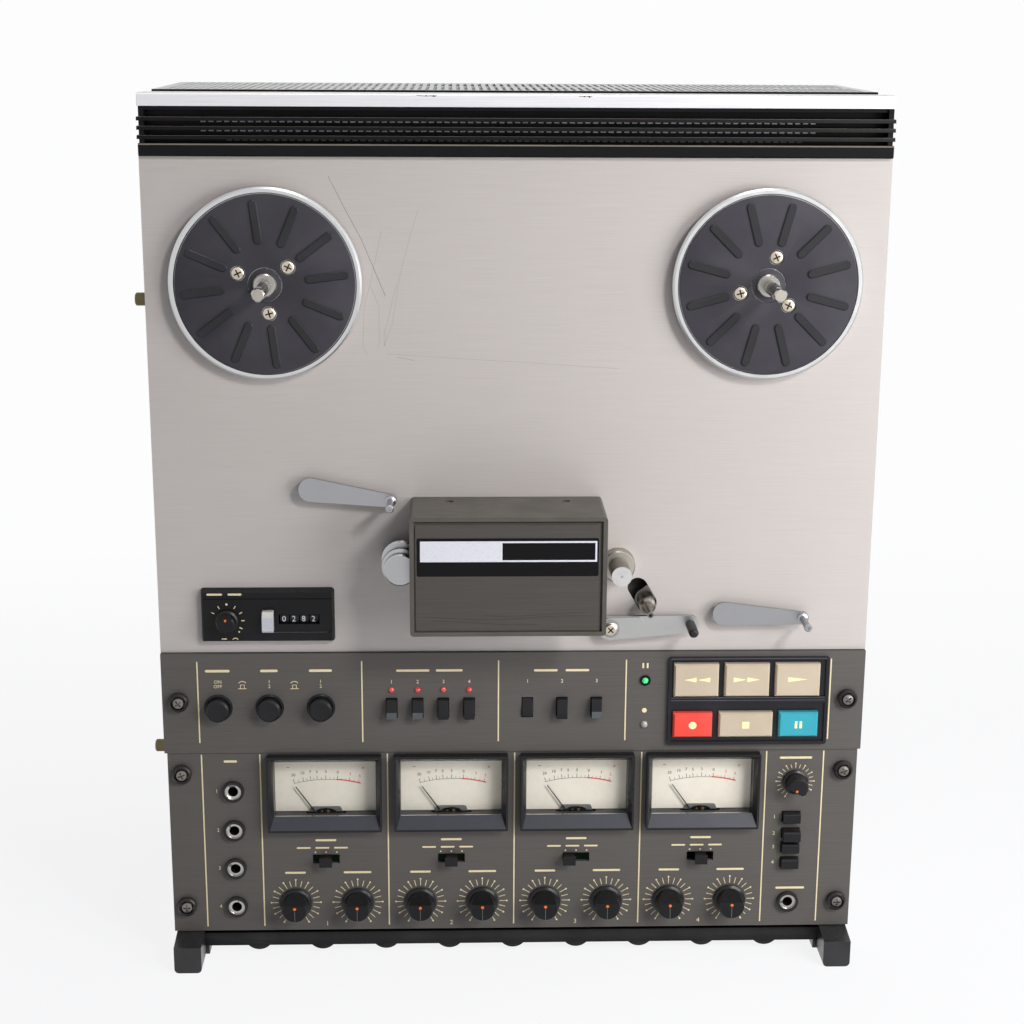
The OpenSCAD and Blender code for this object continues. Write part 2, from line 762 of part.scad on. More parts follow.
// Two reel motors and the capstan motor with its bearing housing
module motors() color("#77736c") place() {
    for (s = [-1, 1]) {
        difference() {
            turned(s * reel_x, motor_y, reel_z) polygon([
                [0, 0], [18, 0], [18, -3], [reel_motor_d / 2 - 3, -3], [reel_motor_d / 2, -6],
                [reel_motor_d / 2, 3 - reel_motor_len], [reel_motor_d / 2 - 3, -reel_motor_len],
                [0, -reel_motor_len]
            ]);
            rod(s * reel_x, reel_z, motor_y - 1, motor_y + reel_motor_len - 4, reel_shaft_d / 2 + run_gap);
        }
    }
    // Capstan motor: its flange sits behind the chassis plate, cut away round the pinch arm
    difference() {
        turned(capstan_at[0], 0, capstan_at[1]) polygon([
            [0, 7], [bearing_d / 2 - 0.8, 7], [bearing_d / 2, 6.2], [bearing_d / 2, -motor_y],
            [28, -motor_y], [28, -motor_y - 9], [34, -motor_y - 9],
            [34, -motor_y - capstan_motor_len], [0, -motor_y - capstan_motor_len]
        ]);
        rod(capstan_at[0], capstan_at[1], -8, motor_y + capstan_motor_len + 1, capstan_d / 2 + run_gap);
        plate(motor_y - 1, pinch_y + pinch_t + 1) {
            link(slot_low, slot_high, pinch_r + 1, pinch_r + 1);
            link(slot_low - [-1, 1], pinch_pivot, pinch_r + 1, pinch_sweep_r);
            link(slot_high + [0.4, 0.6], pinch_pivot, pinch_r + 1, pinch_sweep_r);
            translate(pinch_pivot - [pinch_sweep_r, 4]) circle(pinch_sweep_r);
        }
    }
}

// Mains transformer and circuit boards with their larger parts
module electronics() color("#3f5f46") place() {
    floor_z = case_z0 + case_wall;
    // Transformer: laminated core with two windings
    block(core_x - core_w / 2, core_x + core_w / 2, core_y, core_y + core_d, floor_z, floor_z + core_h);
    for (y = [core_y - coil_d + eps, core_y + core_d - eps]) {
        block(core_x - coil_w / 2, core_x + coil_w / 2, y, y + coil_d,
            floor_z + coil_inset, floor_z + core_h - coil_inset);
    }
    // Amplifier board standing behind the meters, on the floor
    board_back = board_y + board_t - eps;
    block(-case_in + board_gap, core_x - core_w / 2 - board_to_core, board_y, board_y + board_t,
        floor_z, meter_back_z1 + 7);
    for (i = [0 : 3]) {
        x = channel_x(i) * 0.6 - 30;
        rod(x, meter_back_z0 + 2.3, board_back, board_back + part_h, part_r);
        block(x + 24, x + 42, board_back, board_back + part_r, amp_z0 + 89, amp_z0 + 109);
    }
    // Potentiometers of the knobs, each with its bushing against the panel
    for (i = [0 : 3], s = [-1, 1]) {
        potentiometer(channel_x(i) + s * knob_pitch / 2, knob_z);
    }
    potentiometer(monitor_knob_at[0], monitor_knob_at[1]);
    // Servo board on the shelf
    board_top = shelf_z + board_t - eps;
    block(-case_in + 28.8, 40, board_y, board_y + 110, shelf_z, shelf_z + board_t);
    for (i = [0 : 5]) {
        translate([-case_in + 48.8 + i * 34, board_y + 60, board_top]) cylinder(h = part_h + 4, r = part_r);
    }
    block(-case_in + 98.8, 20, board_y + 80, board_y + 83, board_top, board_top + 28.4);
}
core_x = inlet_x + 5;
core_y = case_y1 - 92.5;
core_w = 70;
core_d = 60;
core_h = 58;
coil_inset = 8;
coil_w = 46;
coil_d = 12;
board_y = 60;
board_gap = 48.8;
board_to_core = 19.8;
board_t = 1.6;
part_r = 8;
part_h = 22;

// Potentiometer behind a panel, with the bore of its knob's shaft
module potentiometer(x, z) {
    y = panel_t - amp_step + 0.05;
    turned(x, 0, z) polygon([
        [knob_shaft_r + run_gap, -y], [4.6, -y], [4.6, -y - 6], [8, -y - 6], [8, -y - 16], [0, -y - 16],
        [0, -knob_shaft_end - 0.4], [knob_shaft_r + run_gap, -knob_shaft_end - 0.4]
    ]);
}

// Front jacks, phono sockets, remote socket and mains inlet
module connectors() color("#b9b9bb") place() {
    for (z = jack_zs) {
        front_jack(jack_x, amp_z0 + z);
    }
    front_jack(monitor_x, amp_z0 + phones_z);
    for (x = phono_xs, z = phono_zs) {
        phono_socket(x, z);
    }
    // Remote socket: a shell with a keyed ring
    difference() {
        union() {
            rod(remote_x, inlet_z, case_y1 - 12, case_y1 + 5, remote_r);
            rod(remote_x, inlet_z, case_y1 + seat, case_y1 + 2, remote_r + 3);
        }
        rod(remote_x, inlet_z, case_y1 - 3, case_y1 + 6, remote_r - 1.5);
    }
    for (i = [0 : 5]) {
        a = i * 60;
        rod(remote_x + 4.5 * cos(a), inlet_z + 4.5 * sin(a), case_y1 - 3 - eps, case_y1 + 3, 0.8);
    }
    // Mains inlet: a rectangular well with two round pins
    inlet_at = [inlet_x, inlet_z];
    difference() {
        union() {
            plate(case_y1 - inlet_deep - 4, case_y1 + 2) cell(inlet_at, inlet_w, inlet_h);
            plate(case_y1 + seat, case_y1 + 2) cell(inlet_at, inlet_w + 8, inlet_h + 4);
        }
        plate(case_y1 - inlet_deep, case_y1 + 3) cell(inlet_at, inlet_w - 4, inlet_h - 4);
    }
    for (s = [-1, 1]) {
        rod(inlet_x + s * 5, inlet_z, case_y1 - inlet_deep - eps, case_y1, 1.2);
    }
}

// Front jack: nut, threaded barrel through the panel, and body behind it
module front_jack(x, z) {
    difference() {
        union() {
            turned(x, -amp_step, z) polygon([
                [0, 1.2], [jack_barrel_r - 0.2, 1.2], [jack_barrel_r, 2.2], [jack_nut_r - 0.8, 2.2],
                [jack_nut_r, 1.4], [jack_nut_r, 0.05], [jack_barrel_r, 0.05], [jack_barrel_r, -panel_t],
                [0, -panel_t]
            ]);
            block(x - 8, x + 8, panel_t + 0.3, panel_t + 24, z - 8, z + 8);
            rod(x, z, 1, panel_t + 1, jack_barrel_r);
        }
        rod(x, z, -amp_step - 4, panel_t + 20, jack_bore / 2);
    }
}

// Phono socket: shell with a flange against the rear panel
module phono_socket(x, z) {
    difference() {
        union() {
            rod(x, z, case_y1 - 8, case_y1 + connector_out, phono_r);
            rod(x, z, case_y1 + seat, case_y1 + 1.6, phono_flange_r);
        }
        rod(x, z, case_y1, case_y1 + connector_out + 1, phono_bore_r);
    }
}

// Head cover: top, sides cut away for the tape, and a front with an inset plate
module head_cover() color("#4d4946") place() {
    x0 = cover_x - cover_w / 2;
    x1 = cover_x + cover_w / 2;
    z1 = cover_z + cover_h;
    fr = -cover_d;
    difference() {
        plate(fr, 0) translate([cover_x, cover_z + cover_h / 2]) rounded(cover_w, cover_h, 2.4);
        block(x0 + cover_wall, x1 - cover_wall, fr + cover_wall + 1.8, 1, cover_z - 1, z1 - cover_wall);
        // Tape entry: both sides stay open round the roller and the capstan
        block(x0 - 1, x1 + 1, fr + 13, 1, cover_z - 1, roller_at[1] + roller_r + 3);
        // Recess of the front, with a deeper groove along its upper and right edges
        plate(fr - 1, fr + 1.4) {
            cell([cover_x, cover_z + cover_h / 2], cover_w - 2 * cover_rim, cover_h - 2 * cover_rim);
        }
        block(x0 + cover_rim, x1 - cover_rim, fr - 1, fr + 2.6, z1 - cover_rim - 1.2, z1 - cover_rim);
        block(x1 - cover_rim - 1.2, x1 - cover_rim, fr - 1, fr + 2.6, cover_z + cover_rim, z1 - cover_rim);
        for (x = post_xs) {
            translate([x, -post_y, z1 - 4]) cylinder(h = 5, r = 2.6);
        }
    }
    // Raised part of the inset plate with rounded lower corners
    inset_w = cover_w - 2 * cover_rim - 3;
    inset_h = cover_h - 2 * cover_rim - 3;
    plate(fr + 0.5, fr + 1.4 + eps) {
        translate([cover_x - 0.6, cover_z + cover_h / 2 - 0.6]) rounded(inset_w, inset_h, 1.5);
    }
}

// Head block: base plate, three heads, guides and the two posts that the cover screws to
module tape_heads() color("#b3aa98") place() {
    w = cover_w / 2 - cover_wall - 1.5;
    block(cover_x - w, cover_x + w, -3.5, -0.05, tape_z - 6, cover_z + cover_h - cover_wall - 1);
    for (x = head_xs) {
        difference() {
            union() {
                plate(-head_front, -3.5 + eps) union() {
                    translate([x - head_w / 2, tape_z + 6]) square([head_w, head_h - 6]);
                    intersection() {
                        translate([x, tape_z + 9]) circle(9);
                        translate([x - head_w / 2, tape_z]) square([head_w, 12]);
                    }
                }
            }
            block(x - 0.3, x + 0.3, -head_front + 2, -8, tape_z - 1, tape_z + 3);
        }
    }
    for (x = guide_xs) {
        turned(x, 0, tape_z + 2.8) polygon([
            [0, 0.05], [3.6, 0.05], [3.6, 12], [2.6, 12.4], [2.6, 19], [3.6, 19.4], [3.6, 23], [0, 23]
        ]);
    }
    post_z0 = tape_z + head_h + 6;
    post_z1 = cover_z + cover_h - cover_wall - 0.1;
    for (x = post_xs) {
        translate([x, -post_y, post_z0]) cylinder(h = post_z1 - post_z0, r = cover_post_r);
        block(x - cover_post_r, x + cover_post_r, -post_y, -3, post_z0, post_z0 + 8);
    }
}

// Moulded box of the pitch control and the tape counter
module counter_box() color("#242325") place() {
    c = [counter_x, counter_z];
    fr = -counter_proud;
    top = counter_z + counter_h / 2;
    difference() {
        union() {
            intersection() {
                plate(fr, -0.05) translate(c) rounded(counter_w, counter_h, 2.2);
                taper(counter_x, fr, 0, counter_w - 3, counter_w,
                    counter_z - counter_h / 2 + 1.5, top - 2, counter_z - counter_h / 2, top);
            }
            plate(-0.1, counter_body_d) translate(c) square([counter_w - 6, counter_h - 6], center = true);
        }
        // Groove under the sloping top band, and the shallow field round the counter
        block(counter_x - 50, counter_x + 50, fr - 1, fr + 0.8, top - 6.4, top - 5.8);
        plate(fr - 1, fr + 0.7) {
            translate([counter_x + 20, counter_z - 2.2]) rounded(40, 17, 1.5);
        }
        // Wheel window with the hollow behind it
        slot_w = wheel_count * (wheel_w + wheel_gap) + 1;
        slot_x = wheel_x0 - 0.5;
        block(slot_x, slot_x + slot_w, fr - 1, fr + 4.1, wheel_z - 3.2, wheel_z + 3.2);
        block(slot_x, slot_x + slot_w, fr + 1.8, wheel_y + wheel_r + 1.5,
            wheel_z - wheel_r - 1, wheel_z + wheel_r + 1);
        translate([slot_x - 1.8, wheel_y, wheel_z]) rotate([0, 90, 0]) {
            cylinder(h = slot_w + 4.3, r = wheel_shaft_r + run_gap);
        }
        // Openings of the reset button and the pitch shaft
        plate(fr - 1, 14) cell(reset_at, reset_w + 2 * key_play, reset_h + 2 * key_play);
        rod(pitch_at[0], pitch_at[1], fr - 1, 16, knob_shaft_r + run_gap);
    }
}

// Digit wheels of the counter on their shaft
module counter_wheels() color("#e9e6df") place() {
    translate([wheel_x0 - 1.9, wheel_y, wheel_z]) rotate([0, 90, 0]) {
        cylinder(h = wheel_count * (wheel_w + wheel_gap) + 3.5, r = wheel_shaft_r);
    }
    for (i = [0 : wheel_count - 1]) {
        x = wheel_x0 + wheel_gap / 2 + i * (wheel_w + wheel_gap);
        translate([x, wheel_y, wheel_z]) rotate([0, 90, 0]) cylinder(h = wheel_w, r = wheel_r);
    }
}

// Reset button with a bevelled crown
module counter_reset() color("#dcdad4") place() {
    fr = -counter_proud;
    z0 = reset_at[1] - reset_h / 2;
    z1 = reset_at[1] + reset_h / 2;
    along_x(reset_at[0] - reset_w / 2, reset_at[0] + reset_w / 2) polygon([
        [fr - reset_proud + 0.4, z0 + 0.8], [fr - reset_proud, z0 + 1.6],
        [fr - reset_proud, z1 - 3.4], [fr - reset_proud + 2, z1],
        [10, z1], [10, z0], [fr - reset_proud + 1.4, z0]
    ]);
}

// Frame of the transport keys and the three button rings
module key_bezels() color("#171617") place() {
    y0 = -trans_step - bezel_t;
    bar_z1 = upper_z - upper_h / 2 - 1.4;
    bar_z0 = bar_z1 - 3.8;
    x0 = bezel_x - bezel_w / 2 + bezel_rim;
    x1 = bezel_x + bezel_w / 2 - bezel_rim;
    difference() {
        plate(y0, -trans_step - seat) difference() {
            translate([bezel_x, bezel_z]) rounded(bezel_w, bezel_h, 1.5);
            transport_openings();
        }
        // Sunk field round each row of keys, and a groove along the bar between them
        block(x0, x1, y0 - 1, y0 + bezel_sunk, bar_z1, bezel_z + bezel_h / 2 - bezel_rim);
        block(x0, x1, y0 - 1, y0 + bezel_sunk, bezel_z - bezel_h / 2 + bezel_rim, bar_z0);
        block(x0, x1, y0 - 1, y0 + 0.6, bar_z0 + 1.8, bar_z0 + 2.4);
    }
    ring_in = button_d / 2 + key_play;
    for (x = button_xs) {
        turned(x, -trans_step, button_z) polygon([
            [ring_in, seat], [ring_in + 1.2, seat], [ring_in + 1.2, ring_rise - 1],
            [ring_in + 0.5, ring_rise], [ring_in, ring_rise]
        ]);
    }
}

// Four meter cases: sloping frame, window well and movement housing
module meter_cases() color("#161517") place() {
    y0 = -amp_step - meter_proud;
    for (i = [0 : 3]) {
        x = channel_x(i);
        difference() {
            union() {
                plate(y0, -amp_step - seat) translate([x, meter_z]) rounded(meter_w, meter_h, 1);
                plate(-amp_step - 0.1, panel_t) cell([x, meter_body_z], meter_body_w, meter_body_h);
                block(x - meter_body_w / 2, x + meter_body_w / 2, panel_t - amp_step + 0.1, meter_body_d,
                    meter_back_z0, meter_back_z1);
            }
            // Sloping sides that run down to the window
            taper(x, y0 - 0.5, y0 + 5, meter_w - 2, window_w,
                meter_z - meter_h / 2 + 0.8, meter_z + meter_h / 2 - 1.2,
                window_z - window_h / 2, window_z + window_h / 2);
            plate(y0 + 4, scale_y + scale_t) cell([x, window_z], window_w, window_h);
            // Room for the needle's hub below the window
            block(x - hub_room, x + hub_room, scale_y - 3.2, scale_y + scale_t, needle_z - 3.2, window_z);
            rod(x, needle_z, scale_y, meter_bore_y1, needle_pivot_r + run_gap);
        }
    }
}

// Four printed scale plates
module meter_scales() color("#e6dfd2") place() for (i = [0 : 3]) {
    plate(scale_y, scale_y + scale_t - 0.02) difference() {
        cell([channel_x(i), window_z], window_w - 0.4, window_h - 0.4);
        translate([channel_x(i), needle_z]) circle(5);
    }
}

// Needle with its hub and pivot, lying at the left stop
module meter_needle(i) color("#2a2a2a") place() {
    y = scale_y - 2.2;
    translate([channel_x(i), 0, needle_z]) rotate([0, -needle_rest, 0]) {
        plate(y, y + needle_t) polygon([[-0.5, 0], [0.5, 0], [0.22, needle_len], [-0.22, needle_len]]);
    }
    rod(channel_x(i), needle_z, y - 0.4, y + 1.2, needle_hub_r);
    rod(channel_x(i), needle_z, y, 14, needle_pivot_r);
}

// Reel table: disc with a chamfered rim, hub, collar, splined spindle and motor shaft
module reel_table(side) color("#c9c8c6") place() {
    x = side * reel_x;
    r = table_d / 2;
    turned(x, 0, reel_z) polygon([
        [0, table_back], [13, table_back], [13, table_back + 1.6], [r - 8, table_back + 1.6],
        [r - 6, table_back], [r - 1, table_back], [r, table_back + 1], [r, table_front - 1.2],
        [r - 1.2, table_front], [mat_d / 2 + 0.9, table_front], [mat_d / 2 + 0.3, table_front - 1],
        [mat_d / 2 + 0.3, mat_front - mat_t], [10, mat_front - mat_t], [10, mat_front + 0.4],
        [collar_d / 2, mat_front + 1], [collar_d / 2, collar_front - 0.8],
        [collar_d / 2 - 0.8, collar_front], [spindle_d / 2, collar_front],
        [spindle_d / 2, collar_front + 8], [0, collar_front + 8]
    ]);
    plate(-lock_y, -collar_front - 8 + eps) translate([x, reel_z]) splined(90);
    rod(x, reel_z, -table_back - eps, reel_shaft_end, reel_shaft_d / 2);
}

// Rubber mat with radial ribs and three screw holes
module reel_mat(side) color("#29282a") place() {
    k = side > 0 ? 1 : 0;
    at = [side * reel_x, reel_z];
    plate(-mat_front, -mat_front + mat_t - 0.05) translate(at) difference() {
        circle(mat_d / 2);
        circle(10.3);
        for (a = screw_angles[k]) {
            translate(screw_ring * [cos(a), sin(a)]) circle(screw_hole_r);
        }
    }
    plate(-mat_front - rib_rise, -mat_front + eps) translate(at) for (i = [0 : rib_count - 1]) {
        rotate(rib_phase[k] + i * 360 / rib_count) {
            link([rib_r0 + rib_w / 2, 0], [rib_r1 - rib_w / 2, 0], rib_w / 2, rib_w / 2);
        }
    }
}

// Locking tip of a spindle, turned so that its lobes stand between the splines
module reel_lock(side) color("#d8d6d0") place() {
    x = side * reel_x;
    intersection() {
        plate(-spindle_tip, -lock_y - 0.2) translate([x, reel_z]) splined(30);
        turned(x, 0, reel_z) polygon([
            [0, lock_y - 1], [spline_r + 1, lock_y - 1], [spline_r + 1, spindle_tip - 1.6],
            [spline_r - 0.8, spindle_tip], [0, spindle_tip]
        ]);
    }
}

// Section of a spindle: a core with three splines, the first one at the angle given
module splined(first) {
    circle(spline_r - spline_rise);
    intersection() {
        circle(spline_r);
        for (k = [0 : 2]) {
            rotate(first + k * 120) cell([spline_r / 2, 0], spline_r + 1, spline_w);
        }
    }
}

// Tension arm: tapered plate with a shaft at one end and a flanged guide pin at the other
module tension_arm(k) color("#c6c7c8") place() {
    p = arm_pivot[k];
    tip = p + arm_len * [cos(arm_angle[k]), sin(arm_angle[k])];
    plate(-arm_front, -arm_gap) link(p, tip, arm_r, arm_tip_r);
    rod(p[0], p[1], -arm_gap - eps, -0.2, arm_boss_r);
    rod(p[0], p[1], -0.3, shaft_tail, arm_shaft_r);
    turned(tip[0], 0, tip[1]) polygon([
        [0, arm_front - eps], [pin_d / 2 + 0.9, arm_front - eps], [pin_d / 2 + 0.9, arm_front + 1],
        [pin_d / 2 - 0.4, arm_front + 1.6], [pin_d / 2 - 0.4, pin_tip - 3],
        [pin_d / 2, pin_tip - 2.4], [pin_d / 2, pin_tip - 0.6],
        [pin_d / 2 - 0.6, pin_tip], [0.9, pin_tip], [0.9, pin_tip - 1], [0, pin_tip - 1]
    ]);
}

// Flanged tape roller on its shaft
module tape_roller() color("#c6c7c8") place() {
    turned(roller_at[0], 0, roller_at[1]) polygon([
        [0, 4.6], [roller_r - 1, 4.6], [roller_r, 5.4], [roller_r, 9], [roller_r - 1, 9.8],
        [roller_cap_r - 1.4, 10.4], [roller_cap_r - 1.4, 21], [roller_r - 0.6, 22], [roller_r - 0.6, 25],
        [roller_cap_r - 0.8, 25.8], [roller_cap_r - 0.8, 27], [roller_cap_r, 27.6],
        [roller_cap_r, roller_front - 0.8], [roller_cap_r - 0.8, roller_front], [0, roller_front]
    ]);
    rod(roller_at[0], roller_at[1], -4.6 - eps, shaft_tail, arm_shaft_r);
}

// Capstan: shaft with a centre mark in front and the servo rotor behind its motor
module capstan() color("#cdccca") place() {
    back = motor_y + capstan_motor_len + 0.4;
    difference() {
        rod(capstan_at[0], capstan_at[1], -capstan_tip, back + eps, capstan_d / 2);
        rod(capstan_at[0], capstan_at[1], -capstan_tip - 1, -capstan_tip + 2, 0.9);
    }
    turned(capstan_at[0], 0, capstan_at[1]) polygon([
        [0, -back], [rotor_d / 2, -back], [rotor_d / 2, -back - 7], [rotor_d / 2 - 2, -back - 9],
        [12, -back - 9], [12, -back - 5], [0, -back - 5]
    ]);
}

// Pinch arm behind the panel, with the stepped post that carries a pinch roller
module pinch_arm() color("#8b857c") place() {
    plate(pinch_y, pinch_y + pinch_t) link(post_at, pinch_pivot, pinch_r, 8);
    rod(pinch_pivot[0], pinch_pivot[1], chassis_y, pinch_y + eps, pinch_shaft_r);
    turned(post_at[0], 0, post_at[1]) polygon([
        [0, -pinch_y - eps], [post_r, -pinch_y - eps], [post_r, 7], [post_r - 0.6, 8.4],
        [post_r, 9], [post_r, 10], [3.6, 11.4], [2, 18], [2, 28.6], [1.2, 28.6], [1.2, 24], [0, 24]
    ]);
}

// Cue lever: tapered arm with a short raised plate over its root and a finger pin
module cue_lever() color("#c9c9c9") place() {
    plate(-arm_front, -arm_gap) link(cue_at, cue_end, cue_pivot_r, 5.6);
    plate(-arm_front - 1.2, -arm_front + eps) link(cue_at, cue_at + [16, 1.4], cue_pivot_r - 0.8, 6.2);
    rod(cue_at[0], cue_at[1], -arm_gap - eps, -0.2, 5);
    rod(cue_at[0], cue_at[1], -0.3, shaft_tail - 2, cue_shaft_r);
    turned(cue_at[0], 0, cue_at[1]) polygon([
        [0, arm_front + 1], [4.7, arm_front + 1], [4.7, arm_front + 1.8],
        [3.6, arm_front + 2.6], [0, arm_front + 2.8]
    ]);
    turned(cue_end[0], 0, cue_end[1]) polygon([
        [0, arm_front - eps], [3, arm_front - eps], [3, pin_tip - 2],
        [2.2, pin_tip - 0.4], [1.4, pin_tip], [0, pin_tip]
    ]);
}

// Knob with a skirt and a body cut to a slope on its pointer side; turn is its rest position
module knob(at, y, d, len, turn, shaft_end) {
    translate([at[0], 0, at[1]]) rotate([0, turn, 0]) {
        difference() {
            turned(0, -y, 0) polygon([
                [0, 0.6], [d / 2 - 0.4, 0.6], [d / 2, 1], [d / 2, 2.2], [d / 2 - 1.2, 3],
                [0.42 * d, 3.2], [0.4 * d, len - 0.8], [0.4 * d - 0.8, len], [0, len]
            ]);
            along_x(-d, d) polygon([
                [-y - len - 1, 0.15 * d], [-y - 3.4, 0.4 * d], [-y - 3.4, d], [-y - len - 1, d]
            ]);
        }
        rod(0, 0, -y - 0.6 - eps, shaft_end, knob_shaft_r);
    }
}

// Round push button with a dished cap
module push_button(i) color("#1a191a") place() {
    turned(button_xs[i], -trans_step, button_z) polygon([
        [0, -14], [button_d / 2, -14], [button_d / 2, button_proud - 1.2],
        [button_d / 2 - 1.2, button_proud], [button_d / 2 - 2, button_proud], [0, button_proud - 0.8]
    ]);
}

// Row of small latching keys with a sloping thumb face, each pushed in by its own amount
module small_keys(xs, pushed) {
    z0 = small_key_z - key_h / 2;
    z1 = small_key_z + key_h / 2;
    for (i = [0 : len(xs) - 1]) {
        y = -trans_step - key_proud + pushed[i];
        along_x(xs[i] - key_w / 2, xs[i] + key_w / 2) polygon([
            [y + 1.6, z0], [y, z0 + 0.8], [y, z0 + 0.42 * key_h], [y + 2.4, z1 - 1.2], [y + 3.4, z1],
            [small_key_end, z1], [small_key_end, z0]
        ]);
    }
}
small_key_end = 12;

// Monitor selector keys, the second one standing out
module monitor_keys() color("#1b1a1b") place() for (i = [0 : 3]) {
    y = -amp_step - monitor_key_proud - monitor_key_out[i];
    z0 = amp_z0 + monitor_key_zs[i] - monitor_key_h / 2;
    z1 = z0 + monitor_key_h;
    along_x(monitor_x - monitor_key_w / 2, monitor_x + monitor_key_w / 2) polygon([
        [y + 0.6, z0], [y, z0 + 0.6], [y, z1 - 1], [y + 1, z1], [small_key_end, z1], [small_key_end, z0]
    ]);
}

// Levers of the four input selectors
module input_levers() color("#1b1a1b") place() for (i = [0 : 3]) {
    at = [channel_x(i) + lever_x[i], lever_z];
    plate(-amp_step - lever_proud, -amp_step + 4) cell(at, lever_w, lever_slot_h - 1.2);
    plate(-amp_step - lever_proud, -amp_step - lever_proud + 1.6) cell(at, lever_w + 1.2, lever_slot_h);
    plate(-amp_step + 3, panel_t + 10) cell(at, 3, 3);
}

// Transport key: a cap with bevelled edges on a guided stem
module transport_key(x, z, w, h) {
    y = -trans_step - transport_proud;
    taper(x, y, y + 1.2, w - 2, w, z - h / 2 + 1, z + h / 2 - 1, z - h / 2, z + h / 2);
    block(x - w / 2, x + w / 2, y + 1.2 - eps, y + key_depth, z - h / 2, z + h / 2);
    block(x - w / 4, x + w / 4, y + key_depth - eps, y + key_depth + 8, z - 2, z + 2);
}

module upper_key(i) color("#b8a993") place() transport_key(upper_xs[i], upper_z, upper_w, upper_h);

module lower_key(i, tint) color(tint) place() transport_key(lower_xs[i], lower_z, lower_ws[i], lower_h);

module level_knob(i, s) color("#1f1e20") place() {
    knob([channel_x(i) + s * knob_pitch / 2, knob_z], amp_step, knob_d, knob_len, 0, knob_shaft_end);
}

module pitch_knob() color("#1f1e20") place() {
    knob(pitch_at, counter_proud, pitch_d, pitch_len, pitch_turn, pitch_shaft_end);
}
pitch_shaft_end = 14;

module monitor_knob() color("#1f1e20") place() {
    knob(monitor_knob_at, amp_step, monitor_d, knob_len, monitor_turn, knob_shaft_end);
}

case();
back_panel();
deck_panel();
transport_panel();
amplifier_panel();
top_louvre();
top_trim();
feet();
panel_screws();
inner_chassis();
motors();
electronics();
connectors();
head_cover();
tape_heads();
counter_box();
counter_wheels();
counter_reset();
key_bezels();
meter_cases();
meter_scales();
meter_needle(0);  // meter_needle_1
meter_needle(1);  // meter_needle_2
meter_needle(2);  // meter_needle_3
meter_needle(3);  // meter_needle_4
reel_table(-1);  // reel_table_left
reel_table(1);  // reel_table_right
reel_mat(-1);  // reel_mat_left
reel_mat(1);  // reel_mat_right
reel_lock(-1);  // reel_lock_left
reel_lock(1);  // reel_lock_right
tension_arm(0);  // tension_arm_left
tension_arm(1);  // tension_arm_right
tape_roller();
capstan();
pinch_arm();
cue_lever();
pitch_knob();
monitor_knob();
push_button(0);  // power_button
push_button(1);  // reel_size_button
push_button(2);  // speed_button
color("#1b1a1b") place() small_keys(function_xs, function_in);  // function_keys
color("#1b1a1b") place() small_keys(output_xs, output_in);  // output_keys
monitor_keys();
input_levers();
upper_key(0);  // rewind_key
upper_key(1);  // fast_forward_key
upper_key(2);  // play_key
lower_key(0, "#e8463b");  // record_key
lower_key(1, "#b8a993");  // stop_key
lower_key(2, "#2aa3be");  // pause_key
level_knob(0, -1);  // input_knob_1
level_knob(0, 1);  // output_knob_1
level_knob(1, -1);  // input_knob_2
level_knob(1, 1);  // output_knob_2
level_knob(2, -1);  // input_knob_3
level_knob(2, 1);  // output_knob_3
level_knob(3, -1);  // input_knob_4
level_knob(3, 1);  // output_knob_4
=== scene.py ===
"""Looks of the reel-to-reel tape recorder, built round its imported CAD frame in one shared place.

Builders speak millimetres in the recorder's front system: X to the right from the middle of the
panels, Y backwards from the face of the deck panel, Z up from the table. Front.matrix() turns that
into the frame's metres, so every mesh carries its own place and every object stays at the origin.
"""

import json
import logging
import math
from dataclasses import dataclass, field
from enum import Enum
from typing import Callable, Iterable, Optional, Sequence, Union

import bmesh
import bpy
from mathutils import Matrix, Vector

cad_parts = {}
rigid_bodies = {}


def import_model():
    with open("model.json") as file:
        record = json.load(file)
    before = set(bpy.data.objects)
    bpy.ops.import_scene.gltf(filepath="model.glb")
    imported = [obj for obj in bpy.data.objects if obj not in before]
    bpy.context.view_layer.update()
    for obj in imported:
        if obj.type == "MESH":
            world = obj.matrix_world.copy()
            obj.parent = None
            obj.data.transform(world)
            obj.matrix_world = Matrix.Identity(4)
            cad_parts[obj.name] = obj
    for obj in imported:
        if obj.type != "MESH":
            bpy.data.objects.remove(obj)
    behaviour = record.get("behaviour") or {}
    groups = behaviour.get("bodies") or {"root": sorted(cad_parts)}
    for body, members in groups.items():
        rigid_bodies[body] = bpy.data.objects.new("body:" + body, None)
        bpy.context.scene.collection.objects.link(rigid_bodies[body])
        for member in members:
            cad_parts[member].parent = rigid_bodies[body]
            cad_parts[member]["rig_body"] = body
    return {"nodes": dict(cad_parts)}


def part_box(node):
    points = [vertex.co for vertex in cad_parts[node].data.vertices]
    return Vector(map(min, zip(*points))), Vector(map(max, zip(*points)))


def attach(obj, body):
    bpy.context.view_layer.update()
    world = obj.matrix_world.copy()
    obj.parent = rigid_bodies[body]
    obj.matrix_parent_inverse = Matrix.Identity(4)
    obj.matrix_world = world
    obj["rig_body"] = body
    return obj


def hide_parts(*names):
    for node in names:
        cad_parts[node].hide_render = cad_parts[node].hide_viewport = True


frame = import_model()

LOG = logging.getLogger("recorder")
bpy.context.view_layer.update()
MILLIMETRE = 0.001
SEAM = 2e-4  # Corners of a CAD mesh that lie closer than this are one, in millimetres
FLATNESS = 0.6  # Faces that differ by less than this angle are one, in degrees
PRINT = 0.06  # Thickness of printing, in millimetres
PRINT_SEAT = 0.03  # How deep printing reaches into its face, in millimetres
Point = tuple[float, float, float]
Flat = tuple[float, float]
Tree = bpy.types.NodeTree
Socket = bpy.types.NodeSocket
Mesh = bpy.types.Mesh
Thing = bpy.types.Object
Value = Union[float, str, Socket]
Rule = Callable[[Vector, Vector], int]


